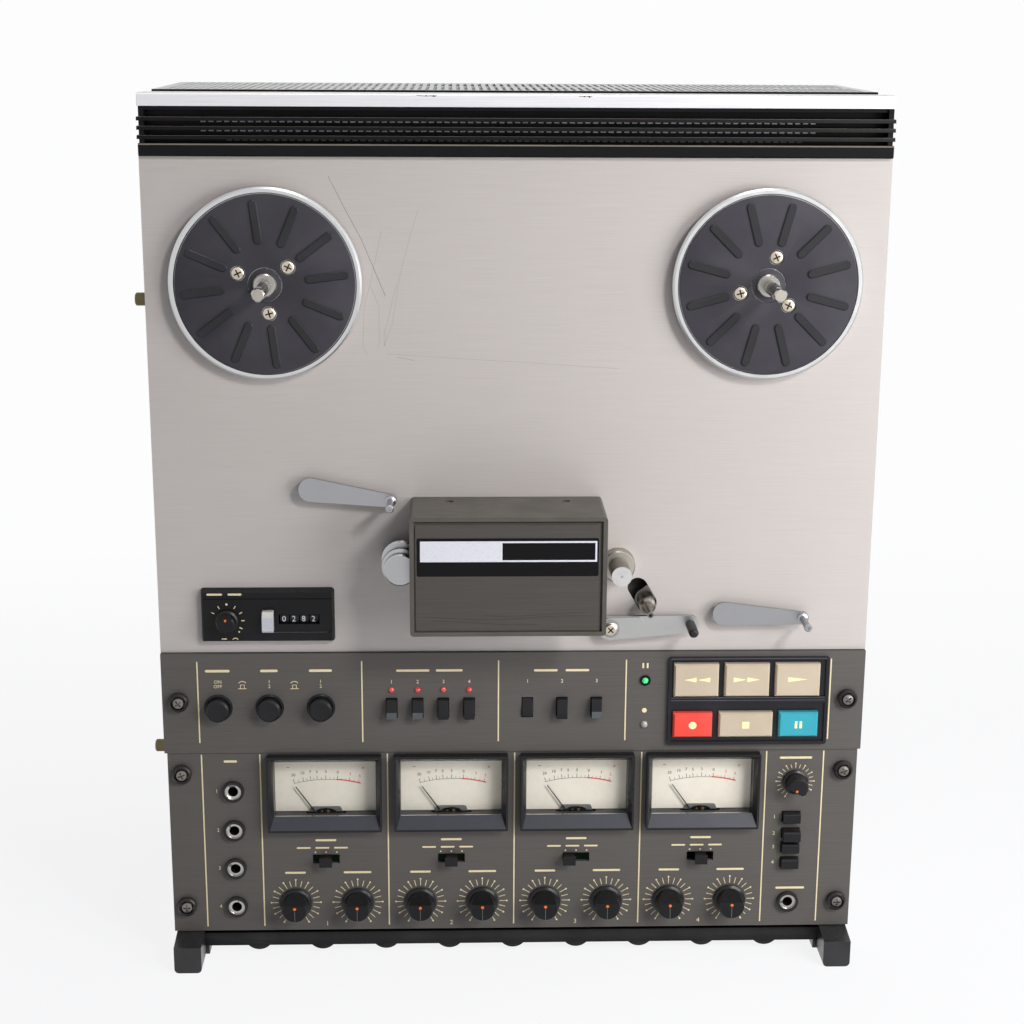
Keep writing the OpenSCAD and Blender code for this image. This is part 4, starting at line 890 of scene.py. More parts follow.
class Kit:
    """Every finish of the recorder, named for the real material, and for the painted light or shade where it
    carries some.
    """

    # Even, slightly grey satin paint of the case: reads as a quiet light field behind the bright strip
    CASE_PAINT = Moulded("grey_satin_case_paint", "#dcdddb", "#cccdca", 0.42, 1.1, 0.03, 0.1, 0.3)
    # Floor, lower lip and rear: dull black paint that keeps the underside dark
    BLACK_PAINT = Moulded("matt_black_steel_paint", "#252424", "#302f2e", 0.6, 0.9, 0.03, 0.15, 0.2)
    # Deck: champagne lacquer over fine brushing, so that it shifts from grey to silver with the light
    DECK = Brushed("champagne_brushed_aluminium", "#bdb6b2", "#c5beba", 0.42, 0.06, 0.32, 0.005, 0.1, 0.2)
    # Lower panels: bronze-grey anodising with a dry, brushed sheen
    PANEL = Brushed("bronze_grey_anodised_aluminium", "#575350", "#5f5b58", 0.46, 0.06, 0.4, 0.01, 0.2, 0.22)
    # Louvre: black moulding; the upper front arrises of its fins carry a painted highlight, a thin light line
    MOULDING = Moulded("black_abs_moulding", "#0c0c0e", "#151518", 0.36, 0.35, 0.012, 0.05, 0.12)
    # Feet: their corners are a lighter grey-brown than the rest of the black
    FOOT_CORNER_TONE = Moulded("lighter_black_abs_corner", "#38332f", "#4d4743", 0.4, 0.4, 0.012, 0.05, 0.4)
    # Louvre fins: painted highlight on their upper front arrises
    FIN_HIGHLIGHT = Moulded("painted_highlight_fin_arris", "#857a70", "#6b625a", 0.4, 0.4, 0.012, 0.05, 0.3)
    # A pale sheet under the vent slots, which keeps them pale from the front
    VENT_PALE_SHEET = Moulded("pale_grey_sheet_under_vents", "#c6c7c4", "#b0b1ae", 0.8, 0.6, 0.05, 0.0, 0.1)
    # Feet: the same black, polished by handling, so that it catches the light from the right
    FOOT = Moulded("handled_black_foot", "#19191b", "#29292c", 0.3, 0.4, 0.012, 0.1, 0.5)
    # Strip: bright drawn aluminium with a cool sheen; its upper faces are polished and painted lighter as a
    # highlight
    TRIM = Brushed("bright_drawn_aluminium", "#e0dfe2", "#ebeaec", 0.34, 0.5, 0.8, 0.005, 0.12)
    TRIM_TOP_HIGHLIGHT = Plated("polished_aluminium_painted_highlight", "#f4efec", "#fffaf4", 0.3, 0.2)
    # Screws: blackened cup washers round dulled steel heads
    OXIDE = Moulded("black_oxide_cup_washer", "#161413", "#272422", 0.33, 0.4, 0.01, 0.1, 0.3)
    STEEL_SCREW = Plated("dulled_steel_screw", "#7d7974", "#625e58", 0.36)
    # Inside: zinc-plated steel, bare motor steel, boards and windings
    ZINC = Plated("zinc_plated_steel", "#b5b1a8", "#9b968b", 0.38)
    YELLOW_ZINC = Plated("yellow_passivated_zinc", "#655c43", "#504937", 0.34)
    MOTOR = Brushed("rolled_motor_steel", "#8a857e", "#9a958e", 0.45, 1.0, 0.6, 0.01)
    BOARD = Moulded("epoxy_circuit_board", "#2f5a3c", "#3d6a48", 0.45, 0.8, 0.02, 0.1, 0.3)
    WINDING = Moulded("varnished_copper_winding", "#8a4b22", "#a05c2c", 0.35, 0.5, 0.05, 0.1, 0.4)
    # Plated pieces of the tape path: mirrors of the pale room, from clear to satin
    NICKEL = Plated("nickel_plated_brass", "#b3b0ab", "#94918c", 0.24, 0.5)
    CHROME = Plated("chromed_steel", "#b2b2b5", "#9d9da0", 0.2, 0.3)
    ARM = Plated("satin_chromed_arm", "#a3a3a6", "#939396", 0.3, 0.2)
    ROLLER_CAP = Turned("turned_roller_cap", "#b9b9bb", "#8d8d8f", 0.28, (-71.0, 275.4), 0.45)
    CAPSTAN = Plated("ground_capstan_steel", "#d9d8d6", "#bfbdb9", 0.22)
    STEEL_POST = Plated("turned_post_steel", "#8b8680", "#6b6660", 0.3)
    SATIN_PLATE = Plated("satin_plated_lever", "#b6b5b4", "#a9a7a5", 0.32, 0.15)
    WARM_NICKEL = Plated("warm_nickel_screw", "#cfc3b2", "#a89c8c", 0.28)
    HEAD = Plated("lapped_head_metal", "#b9ab93", "#9c9079", 0.22)
    BRASS = Plated("brass_movement_part", "#b98f5f", "#8f6a42", 0.35)
    TIP_FACE = Moulded("matt_zinc_spindle_tip", "#b9b2a6", "#a59e92", 0.5, 0.4, 0.02, 0.0, 0.4)
    # Head cover: bronze-grey paint, a darker brushed plate in its face and edges worn bare
    COVER = Moulded("bronze_grey_cover_paint", "#55514c", "#605b56", 0.42, 0.7, 0.012, 0.1, 0.22)
    COVER_PLATE = Brushed("bronze_grey_cover_plate", "#4d4945", "#56514d", 0.38, 0.16, 0.5, 0.008, 0.2, 0.15)
    BARE_EDGE = Plated("bare_aluminium_edge", "#b9b4ad", "#8f8a84", 0.35)
    COVER_SMEAR = Ink("dried_smear_on_cover", "#413d3a", "#47433f", 0.35)
    # Soft and moulded small pieces
    # Reset button: white plastic with painted shade on its sides and painted light on its upper faces
    RESET_SIDE_PAINTED_SHADE = Moulded("painted_shade_reset_plastic", "#c9cad2", "#b9bac2", 0.35, 0.4, 0.008, 0.05, 0.3)
    RESET_TOP_PAINTED_LIGHT = Moulded("painted_light_reset_plastic", "#dcdad6", "#c9c7c2", 0.35, 0.4, 0.008, 0.05, 0.3)
    CARD = Moulded("printed_scale_card", "#fcf5e9", "#f6eee1", 0.7, 0.3, 0.01, 0.0, 0.2)
    RUBBER = Moulded("ribbed_mat_rubber", "#3a383e", "#434147", 0.6, 0.25, 0.02, 0.1, 0.22)
    RIB_RUBBER = Moulded("worn_rib_rubber", "#1b1b1f", "#29292e", 0.4, 0.25, 0.02, 0.1, 0.35)
    TIP_RUBBER = Moulded("black_tip_rubber", "#141415", "#1f1f21", 0.5, 0.3, 0.01, 0.1, 0.3)
    NEEDLE = Moulded("black_needle_paint", "#151515", "#222222", 0.5, 0.2, 0.004, 0.0, 0.3)
    KNOB = Moulded("black_phenolic_knob", "#0e0e10", "#18181b", 0.3, 0.3, 0.006, 0.05, 0.28)
    KNOB_FACE = Moulded("matt_knob_face", "#151517", "#1e1e20", 0.6, 0.2, 0.02, 0.05, 0.2)
    BUTTON_FACE = Moulded("glossy_button_face", "#0f0f13", "#18181d", 0.34, 0.3, 0.006, 0.05, 0.28)
    # Painted reflection: lighter grey on the faces of a few small keys
    KEY_FACE_REFLECTION = Moulded("painted_reflection_key_face", "#4a4d50", "#5f6265", 0.5, 0.3, 0.01, 0.05, 0.4)
    BOX = Moulded("satin_black_counter_box", "#0f0f11", "#18181b", 0.42, 0.3, 0.012, 0.1, 0.2)
    WHEEL = Moulded("black_number_wheel", "#141416", "#1e1e21", 0.5, 0.3, 0.006, 0.05, 0.3)
    BEZEL = Moulded("black_key_frame", "#131318", "#1e1e25", 0.32, 0.35, 0.012, 0.1, 0.32)
    # Painted highlight: light lines along the arrises of the key frame
    FRAME_HIGHLIGHT = Moulded("painted_highlight_key_frame_arris", "#5a5a64", "#6e6e78", 0.35, 0.4, 0.012, 0.05, 0.5)
    METER_CASE = Moulded("black_meter_case", "#101013", "#1a1a1e", 0.3, 0.35, 0.01, 0.1, 0.3)
    METER_BAR = Moulded("blue_black_meter_bar", "#24252e", "#30303a", 0.38, 0.5, 0.012, 0.1, 0.5)
    METER_GREY = Moulded("grey_movement_cover", "#6f706f", "#82827f", 0.5, 0.3, 0.01, 0.05, 0.3)
    BEIGE = Moulded("beige_abs_key", "#c2b29c", "#cabba6", 0.45, 0.3, 0.01, 0.1, 0.25)
    RED = Moulded("red_abs_key", "#ee4a3e", "#f4594d", 0.4, 0.3, 0.01, 0.1, 0.3)
    BLUE = Moulded("turquoise_abs_key", "#34a1b3", "#42acbd", 0.4, 0.3, 0.01, 0.1, 0.25)
    # Inks: cream on the dark panels, black and red on the scale cards, orange pointers
    CREAM = Ink("cream_screen_print", "#ecdcb3", "#cbbf9c", 0.5)
    KEY_CREAM = Ink("cream_key_print", "#fff3bd", "#f2e3a8", 0.5)
    # White ink for printed figures and frames, also used as painted light in the louvre's gaps
    WHITE_INK_AND_PAINTED_LIGHT = Ink("white_print_and_painted_light", "#dfdfe6", "#c9c9d0", 0.45)
    BLACK_INK = Ink("black_screen_print", "#2c2a28", "#4a4642", 0.5)
    # Grey used only as painted light: in the louvre's gaps and along the counter's recess
    GREY_PAINTED_LIGHT = Ink("grey_painted_light", "#77766f", "#8f8e88", 0.5)
    RED_INK = Ink("red_screen_print", "#d8484a", "#e0706c", 0.5)
    ORANGE = Ink("orange_pointer_paint", "#f07a35", "#e06a2a", 0.45)
    # Black film of the cover label, the dark arch on the movement covers, and painted shade in the screws'
    # cross recesses
    DARK_FILL = Ink("black_film_and_painted_shade", "#070709", "#0e0e11", 0.3)
    SCRATCH = Ink("scratch_through_lacquer", "#6f6a66", "#857f7a", 0.6)
    FAINT_SCRATCH = Ink("faint_scratch_in_lacquer", "#98928d", "#a8a29d", 0.6)
    # Lamp lenses and meter windows
    RED_LENS = Jewel("red_lamp_lens", "#c8141f", "#ff5a5a", 0.15, 0.25)
    GREEN_LENS = Jewel("green_lamp_lens", "#0fae5a", "#5cff9e", 0.15, 0.5)
    # The record lamp is off: its faint glow is painted light.
    CLEAR_LENS = Jewel("clear_lamp_lens", "#8f8a80", "#e8e2d4", 0.12, 0.05)
    WINDOW = Window("clear_meter_window", "#ffffff", "#fbfbf9")
    PAPER = Backdrop("white_paper_sweep", "#f3f5f8", "#eff1f4", 0.8)


# Rules


def grown(tree: Tree, element: Mesh, inputs: dict[str, object]) -> Mesh:
    """Runs a Geometry Nodes tree on a mesh.

    Args:
        tree: The tree.
        element: Mesh that goes in.
        inputs: Value of each named input.

    Returns:
        The mesh that comes out.
    """
    carrier = linked("carrier", element)
    rule = carrier.modifiers.new("rule", "NODES")
    rule.node_group = tree
    names = {item.name: item.identifier for item in tree.interface.items_tree if item.in_out == "INPUT"}
    for name, value in inputs.items():
        rule[names[name]] = value
    return evaluated(carrier)


def new_rule(name: str, inputs: Sequence[tuple[str, str]]) -> tuple[Tree, dict[str, Socket]]:
    """Starts a Geometry Nodes tree.

    Args:
        name: Name of the tree.
        inputs: Name and kind of each input after the geometry.

    Returns:
        The tree and its input sockets by name.
    """
    tree = bpy.data.node_groups.new(name, "GeometryNodeTree")
    tree.interface.new_socket("Element", in_out="INPUT", socket_type="NodeSocketGeometry")
    for label, kind in inputs:
        tree.interface.new_socket(label, in_out="INPUT", socket_type="NodeSocket" + kind)
    tree.interface.new_socket("Result", in_out="OUTPUT", socket_type="NodeSocketGeometry")
    group = add(tree, "NodeGroupInput")
    return tree, {socket.name: socket for socket in group.outputs if socket.name}


def real(tree: Tree, geometry: Socket) -> Socket:
    """Turns instances into geometry of their own."""
    return add(tree, "GeometryNodeRealizeInstances", {"Geometry": geometry}).outputs[0]


def covered(tree: Tree, geometry: Socket, material: Socket) -> Socket:
    """Gives geometry its finish."""
    inputs = {"Geometry": real(tree, geometry), "Material": material}
    return add(tree, "GeometryNodeSetMaterial", inputs).outputs[0]


def upright(tree: Tree, geometry: Socket, place: Socket) -> Socket:
    """Turns what lies flat to face the front and puts it in its place."""
    inputs = {"Geometry": geometry, "Translation": place, "Rotation": (math.pi / 2, 0.0, 0.0)}
    return add(tree, "GeometryNodeTransform", inputs).outputs[0]


def repeat(tree: Tree, sockets: dict[str, Socket]) -> Socket:
    """Adds the nodes that repeat the element along a line and about the front axis.

    Args:
        tree: The tree.
        sockets: Element, Count, Centre, Offset, Start and Step.

    Returns:
        The instances.
    """
    places = {"Count": sockets["Count"], "Start Location": sockets["Centre"], "Offset": sockets["Offset"]}
    line = add(tree, "GeometryNodeMeshLine", places)
    index = add(tree, "GeometryNodeInputIndex")
    angle = computed(tree, "MULTIPLY_ADD", index.outputs[0], sockets["Step"], sockets["Start"])
    euler = add(tree, "ShaderNodeCombineXYZ", {"Y": angle})
    turn = add(tree, "FunctionNodeEulerToRotation", {0: euler.outputs[0]})
    inputs = {"Points": line.outputs[0], "Instance": sockets["Element"], "Rotation": turn.outputs[0]}
    return add(tree, "GeometryNodeInstanceOnPoints", inputs).outputs[0]


REPEAT_INPUTS = (
    ("Count", "Int"), ("Centre", "Vector"), ("Offset", "Vector"), ("Start", "Float"), ("Step", "Float"),
)


@dataclass(frozen=True)
class Array:
    """Repeats one element by a Geometry Nodes tree, in front millimetres.

    Attributes:
        count: Number of copies.
        centre: Place (x, y, z) of the first copy.
        offset: Step from one copy to the next.
        start: Turn of the first copy in degrees, clockwise as seen from the front.
        step: Further turn of each next copy.
    """

    count: int
    centre: Point = (0.0, 0.0, 0.0)
    offset: Point = (0.0, 0.0, 0.0)
    start: float = 0.0
    step: float = 0.0

    @staticmethod
    def rule() -> Tree:
        """Makes the tree once.

        Returns:
            The tree.
        """
        known = bpy.data.node_groups.get("repeat")
        if known:
            return known
        tree, sockets = new_rule("repeat", REPEAT_INPUTS + (("Finish", "Material"),))
        add(tree, "NodeGroupOutput", {"Result": covered(tree, repeat(tree, sockets), sockets["Finish"])})
        return tree

    def of(self, form: Form, finish: Finish) -> Mesh:
        """Repeats a form.

        Args:
            form: The element, drawn about the origin.
            finish: Its finish.

        Returns:
            The mesh of all copies.
        """
        inputs = {
            "Count": self.count, "Centre": self.centre, "Offset": self.offset,
            "Start": math.radians(self.start), "Step": math.radians(self.step), "Finish": finish.build(),
        }
        return grown(self.rule(), form.mesh("element"), inputs)


@dataclass(frozen=True)
class RibbedMat:
    """Ribbed rubber mat grown by a Geometry Nodes tree: rounded ring, screw holes and radial ribs.

    Attributes:
        outer: Outer radius.
        inner: Radius of the bore.
        front: Y of the mat's face.
        back: Y of its rear.
        ribs: Number of ribs.
        phase: Turn of the first rib in degrees, clockwise from the top.
        hole: Radius of a screw hole.
        hole_ring: Radius on which the screw holes lie.
        hole_phase: Turn of the first screw hole in degrees, clockwise from the top.
    """

    outer: float
    inner: float
    front: float
    back: float
    ribs: int
    phase: float
    hole: float
    hole_ring: float
    hole_phase: float

    @staticmethod
    def rule() -> Tree:
        """Makes the tree once.

        Returns:
            The tree.
        """
        known = bpy.data.node_groups.get("ribbed_mat")
        if known:
            return known
        sizes = (
            ("Ring Radius", "Float"), ("Ring Width", "Float"), ("Thickness", "Float"), ("Middle", "Vector"),
        )
        holes = (("Hole Radius", "Float"), ("Hole Place", "Vector"), ("Hole Phase", "Float"))
        finishes = (("Finish", "Material"), ("Rib Finish", "Material"))
        tree, sockets = new_rule("ribbed_mat", REPEAT_INPUTS + sizes + holes + finishes)
        circle = {"Resolution": 144, "Radius": sockets["Ring Radius"]}
        path = add(tree, "GeometryNodeCurvePrimitiveCircle", circle).outputs[0]
        rectangle = {"Width": sockets["Ring Width"], "Height": sockets["Thickness"]}
        section = add(tree, "GeometryNodeCurvePrimitiveQuadrilateral", rectangle).outputs[0]
        rounding = {"Curve": section, "Radius": 0.35, "Count": 2}
        soft = add(tree, "GeometryNodeFilletCurve", rounding, mode="POLY").outputs[0]
        ring = add(tree, "GeometryNodeCurveToMesh", {"Curve": path, "Profile Curve": soft}).outputs[0]
        bore = {"Vertices": 32, "Radius": sockets["Hole Radius"], "Depth": 9.0}
        drill = add(tree, "GeometryNodeMeshCylinder", bore).outputs[0]
        drills = repeat(tree, {
            "Element": upright(tree, drill, sockets["Hole Place"]), "Count": 3, "Centre": sockets["Centre"],
            "Offset": sockets["Offset"], "Start": sockets["Hole Phase"], "Step": math.tau / 3,
        })
        solids = {0: upright(tree, ring, sockets["Middle"]), 1: real(tree, drills)}
        drilled = add(tree, "GeometryNodeMeshBoolean", solids, operation="DIFFERENCE", solver="EXACT")
        both = add(tree, "GeometryNodeJoinGeometry")
        tree.links.new(covered(tree, drilled.outputs[0], sockets["Finish"]), both.inputs[0])
        tree.links.new(covered(tree, repeat(tree, sockets), sockets["Rib Finish"]), both.inputs[0])
        add(tree, "NodeGroupOutput", {"Result": both.outputs[0]})
        return tree

    def mesh(self, x: float, z: float, rib: Form, finish: Finish, worn: Finish) -> Mesh:
        """Grows the mat.

        Args:
            x: Its axis across.
            z: Its axis up.
            rib: One rib that points up from the origin.
            finish: Rubber of the ring.
            worn: Rubber of the ribs.

        Returns:
            The mesh in front millimetres, with the ring in finish 0 and the ribs in finish 1.
        """
        inputs = {
            "Count": self.ribs, "Centre": (0.0, 0.0, 0.0), "Offset": (0.0, 0.0, 0.0),
            "Start": math.radians(self.phase), "Step": math.tau / self.ribs,
            "Ring Radius": (self.outer + self.inner) / 2, "Ring Width": self.outer - self.inner,
            "Thickness": self.back - self.front, "Middle": (0.0, (self.front + self.back) / 2, 0.0),
            "Hole Radius": self.hole, "Hole Place": (0.0, self.front, self.hole_ring),
            "Hole Phase": math.radians(self.hole_phase), "Finish": finish.build(), "Rib Finish": worn.build(),
        }
        mesh = grown(self.rule(), rib.mesh("rib"), inputs)
        ribs = mesh.materials.find(worn.name)
        numbers = [int(face.material_index == ribs) for face in mesh.polygons]
        mesh.polygons.foreach_set("material_index", numbers)
        mesh.transform(Matrix.Translation((x, 0.0, z)))
        return mesh


# Cabinet


def ink_depth(face: float) -> Flat:
    """Gives where printing begins and ends."""
    return face - PRINT, face + PRINT_SEAT


def dress(node: str, *finishes: Finish, bevel: float = 0.25, choose: Optional[Rule] = None) -> Thing:
    """Shows a CAD node as a refined copy with its finishes."""
    return Refined(node, bevel).build([f.build() for f in finishes], choose)


def reshape(thing: Thing, rule: Callable[[Vector], Vector]) -> None:
    """Moves the vertices of a copy by a rule.

    Args:
        thing: The copy.
        rule: Gives the new place of a vertex from its place, in front millimetres.
    """
    to_frame = FRONT.matrix()
    to_front = to_frame.inverted()
    for vertex in thing.data.vertices:
        vertex.co = to_frame @ rule(to_front @ vertex.co)


def show(
    name: str, form: Form, finishes: Sequence[Finish], body: str = Body.RECORDER.value,
) -> Thing:
    """Shows a form as a piece."""
    return piece(name, form.mesh(name), [f.build() for f in finishes], body)


@dataclass(frozen=True)
class Cabinet:
    """Case, strip, louvre, feet, rear and everything inside.

    Attributes:
        floor_top: Faces under this height are black.
        side: Faces further out than this belong to the studs.
        fin_front: Y of the louvre's fins.
        strip_top: Places of the strip over this height are its top.
        strip_fall: How far its top falls towards the rear.
        strip_run: Depth over which it falls.
        pale_sheet: Width, depth and height of the pale sheet under the vent slots, each with both ends.
        chips: Chips in the strip: place across, width and height.
        light_dash_rows: Rows of painted light in the louvre's gaps, where light comes through its slots:
            distance from its top, number, first place and finish.
        socket_xs: Columns of the sockets at the rear.
        socket_zs: Heights of their figures.
        dark_line_half: Half the width of the black strip behind the strip's top, which draws the dark line
            there.
        transformer: Where the transformer begins across and backwards, and where it ends up.
        core: Front and rear Y of the transformer's core.
        zinc: Height under which, and depth in front of which, pieces of the electronics are zinc.
        motor_front: Faces of the motors in front of this Y are their mounting plates.
        rear: Faces of the connectors behind this Y are on the back.
        inlet: Faces there further out than this are the mains inlet.
    """

    floor_top: float = 20.0
    side: float = 220.1
    fin_front: float = -4.0
    strip_top: float = 555.8
    strip_fall: float = 0.3
    strip_run: float = 26.0
    pale_sheet: tuple[Flat, Flat, Flat] = ((-212.0, 212.0), (29.0, 147.0), (554.8, 555.3))
    chips: tuple[Point, ...] = ((-54.0, 11.0, 1.1), (-49.5, 4.0, 1.9), (38.4, 7.0, 1.2), (41.5, 3.0, 2.0))
    light_dash_rows: tuple[tuple[float, int, float, Finish], ...] = (
        (9.0, 79, -185.0, Kit.WHITE_INK_AND_PAINTED_LIGHT), (14.3, 79, -185.0, Kit.WHITE_INK_AND_PAINTED_LIGHT), (19.7, 74, -170.0, Kit.GREY_PAINTED_LIGHT),
    )
    socket_xs: tuple[float, ...] = (-60.0, -40.0, -20.0, 0.0)
    socket_zs: Flat = (95.5, 48.0)
    dark_line_half: float = 217.0
    transformer: Point = (116.0, 95.0, 70.0)
    core: Flat = (110.0, 170.0)
    zinc: Flat = (55.0, 30.0)
    motor_front: float = 4.0
    rear: float = 100.0
    inlet: float = 130.0

    def build(self) -> None:
        """Builds every piece of the cabinet."""
        self.shell()
        self.louvre()
        self.inside()
        self.back()

    def shell(self) -> None:
        """Case, strip and feet."""

        def case_finish(middle: Vector, normal: Vector) -> int:
            """Tells the studs and the black floor from the painted case."""
            if abs(middle.x) > self.side:
                return 2
            return 1 if middle.z < self.floor_top else 0

        dress("case", Kit.CASE_PAINT, Kit.BLACK_PAINT, Kit.YELLOW_ZINC, bevel=0.0, choose=case_finish)
        low, high = FRONT.box("top_trim")

        def highlit_top(middle: Vector, normal: Vector) -> int:
            """Tells the upper faces of the strip, polished and painted lighter as a highlight, from its face.
            """
            return int(normal.z > 0.2 and middle.y < 0.0)

        strip = dress("top_trim", Kit.TRIM, Kit.TRIM_TOP_HIGHLIGHT, bevel=0.35, choose=highlit_top)

        def fall(place: Vector) -> Vector:
            """Lets the top of the strip fall towards the rear, below the raised field of the vents."""
            if place.z > self.strip_top + 0.1 and place.y > -1.5:
                place.z = self.strip_top - self.strip_fall * (place.y + 2.0) / self.strip_run
            return place

        reshape(strip, fall)
        show("vent_pale_sheet", Form().box(*self.pale_sheet), [Kit.VENT_PALE_SHEET])
        # A black strip behind the strip's top draws the dark line that runs there.
        across, bottom = (-self.dark_line_half, self.dark_line_half), self.pale_sheet[2][0]
        dark_line = Form().box(across, (high.y + 0.1, high.y + 1.4), (bottom, 556.78))
        show("strip_dark_line", dark_line, [Kit.MOULDING])
        chips = Form()
        depth = (low.y - 0.03, low.y + 0.2)
        for x, width, height in self.chips:
            chips.prism(circle_points(x, high.z - 2.6, 0.5, 7, 20.0), *depth)
            left, right = (x - width / 2, high.z - 2.4), (x + width / 2, high.z - 2.5)
            chips.stroke([left, (x, high.z - 2.3 - height / 2), right], 0.35, *depth)
        show("strip_chips", chips, [Kit.SCRATCH])

        def corner(middle: Vector, normal: Vector) -> int:
            """Tells the lighter corners of the feet from the rest."""
            return int(abs(normal.x) > 0.3 and abs(normal.y) > 0.3)

        dress("feet", Kit.FOOT, Kit.FOOT_CORNER_TONE, bevel=0.7, choose=corner)

    def louvre(self) -> None:
        """Moulding with fins, and rows of white and grey cells that are painted light where light comes
        through its slots.
        """

        def fin_highlight(middle: Vector, normal: Vector) -> int:
            """Tells the upper front arrises of the fins, which carry a painted highlight, from the rest."""
            return int(middle.y < self.fin_front + 0.8 and 0.15 < normal.z and -0.94 < normal.y < -0.15)

        dress("top_louvre", Kit.MOULDING, Kit.FIN_HIGHLIGHT, bevel=0.22, choose=fin_highlight)
        high = FRONT.box("top_louvre")[1]
        # The white and grey cells are painted light where light comes through the slots.
        for number, (drop, count, x, finish) in enumerate(self.light_dash_rows):
            light_cell = Form().box((-1.5, 1.5), (0.0, 0.3), (-0.35, 0.35))
            cells = Array(count, (x, 6.62, high.z - drop), (4.62, 0.0, 0.0)).of(light_cell, finish)
            piece(f"louvre_gaps_{number + 1}", cells, [finish.build()], Body.RECORDER.value)

    def inside(self) -> None:
        """Chassis, motors and boards behind the panels."""
        dress("inner_chassis", Kit.ZINC, bevel=0.0)
        dress("motors", Kit.MOTOR, Kit.ZINC, bevel=0.0, choose=lambda m, n: int(m.y < self.motor_front))

        def part_finish(middle: Vector, normal: Vector) -> int:
            """Tells boards, core, windings and plated pieces apart."""
            side, front, top = self.transformer
            if middle.x > side and middle.y > front and middle.z < top:
                return 1 if self.core[0] <= middle.y <= self.core[1] else 2
            return 3 if middle.z < self.zinc[0] and middle.y < self.zinc[1] else 0

        finishes = (Kit.BOARD, Kit.MOTOR, Kit.WINDING, Kit.ZINC)
        dress("electronics", *finishes, bevel=0.0, choose=part_finish)

    def back(self) -> None:
        """Rear panel, connectors and the figures of the sockets."""
        dress("back_panel", Kit.BLACK_PAINT, bevel=0.0)

        def socket_finish(middle: Vector, normal: Vector) -> int:
            """Tells the black mouldings of the sockets from their metal."""
            if middle.y > self.rear and middle.x > self.inlet:
                return 1
            return int(3.0 < middle.y < self.rear and abs(normal.y) < 0.5)

        dress("connectors", Kit.NICKEL, Kit.MOULDING, bevel=0.0, choose=socket_finish)
        rear = -FRONT.box("back_panel")[1].y
        depth = (rear - PRINT, rear + 0.02)
        marks = Form()
        for i, x in enumerate(self.socket_xs):
            for z in self.socket_zs:
                marks.number(str(i + 1), -x, z, 3.4, *depth)
        marks.stroke([(-8.0, 72.0), (68.0, 72.0)], 0.5, *depth)
        show("rear_print", marks.tip(180.0, "Z"), [Kit.CREAM])


# Deck


def screw_head(radius: float, front: float, dome: float, turn: float = 20.0) -> Form:
    """Draws a domed head with a dark cross about the origin; the cross's dark colour is painted shade in
    place of a sunk recess.

    Args:
        radius: Radius of the head.
        front: Y of its seat; the head rises towards lower Y.
        dome: Height of the head.
        turn: Turn of the cross in degrees.

    Returns:
        The form: head in finish 0, painted shade of the cross in finish 1.
    """
    top = front - dome
    rise = ((1.0, 0.0), (1.0, 0.45), (0.93, 0.72), (0.78, 0.92), (0.5, 1.0))
    form = Form().turned(0, 0, [(radius * r, front - dome * h) for r, h in rise], 32)
    reach, half = 0.58 * radius, 0.1 * radius
    arms = [(-reach, -half), (-half, -half), (-half, -reach), (half, -reach), (half, -half), (reach, -half)]
    outline = arms + [(-x, -z) for x, z in arms]
    # The cross is a dark fill at the head's top: painted shade instead of a sunk recess.
    form.paint(1, smooth=False).prism(outline, top - 0.03, top + 0.3)
    return form.turn(0, 0, turn)


def facing(middle: Vector, normal: Vector) -> int:
    """Tells the faces that look to the front: 1 for those, 0 for the others."""
    return int(normal.y < -0.9)


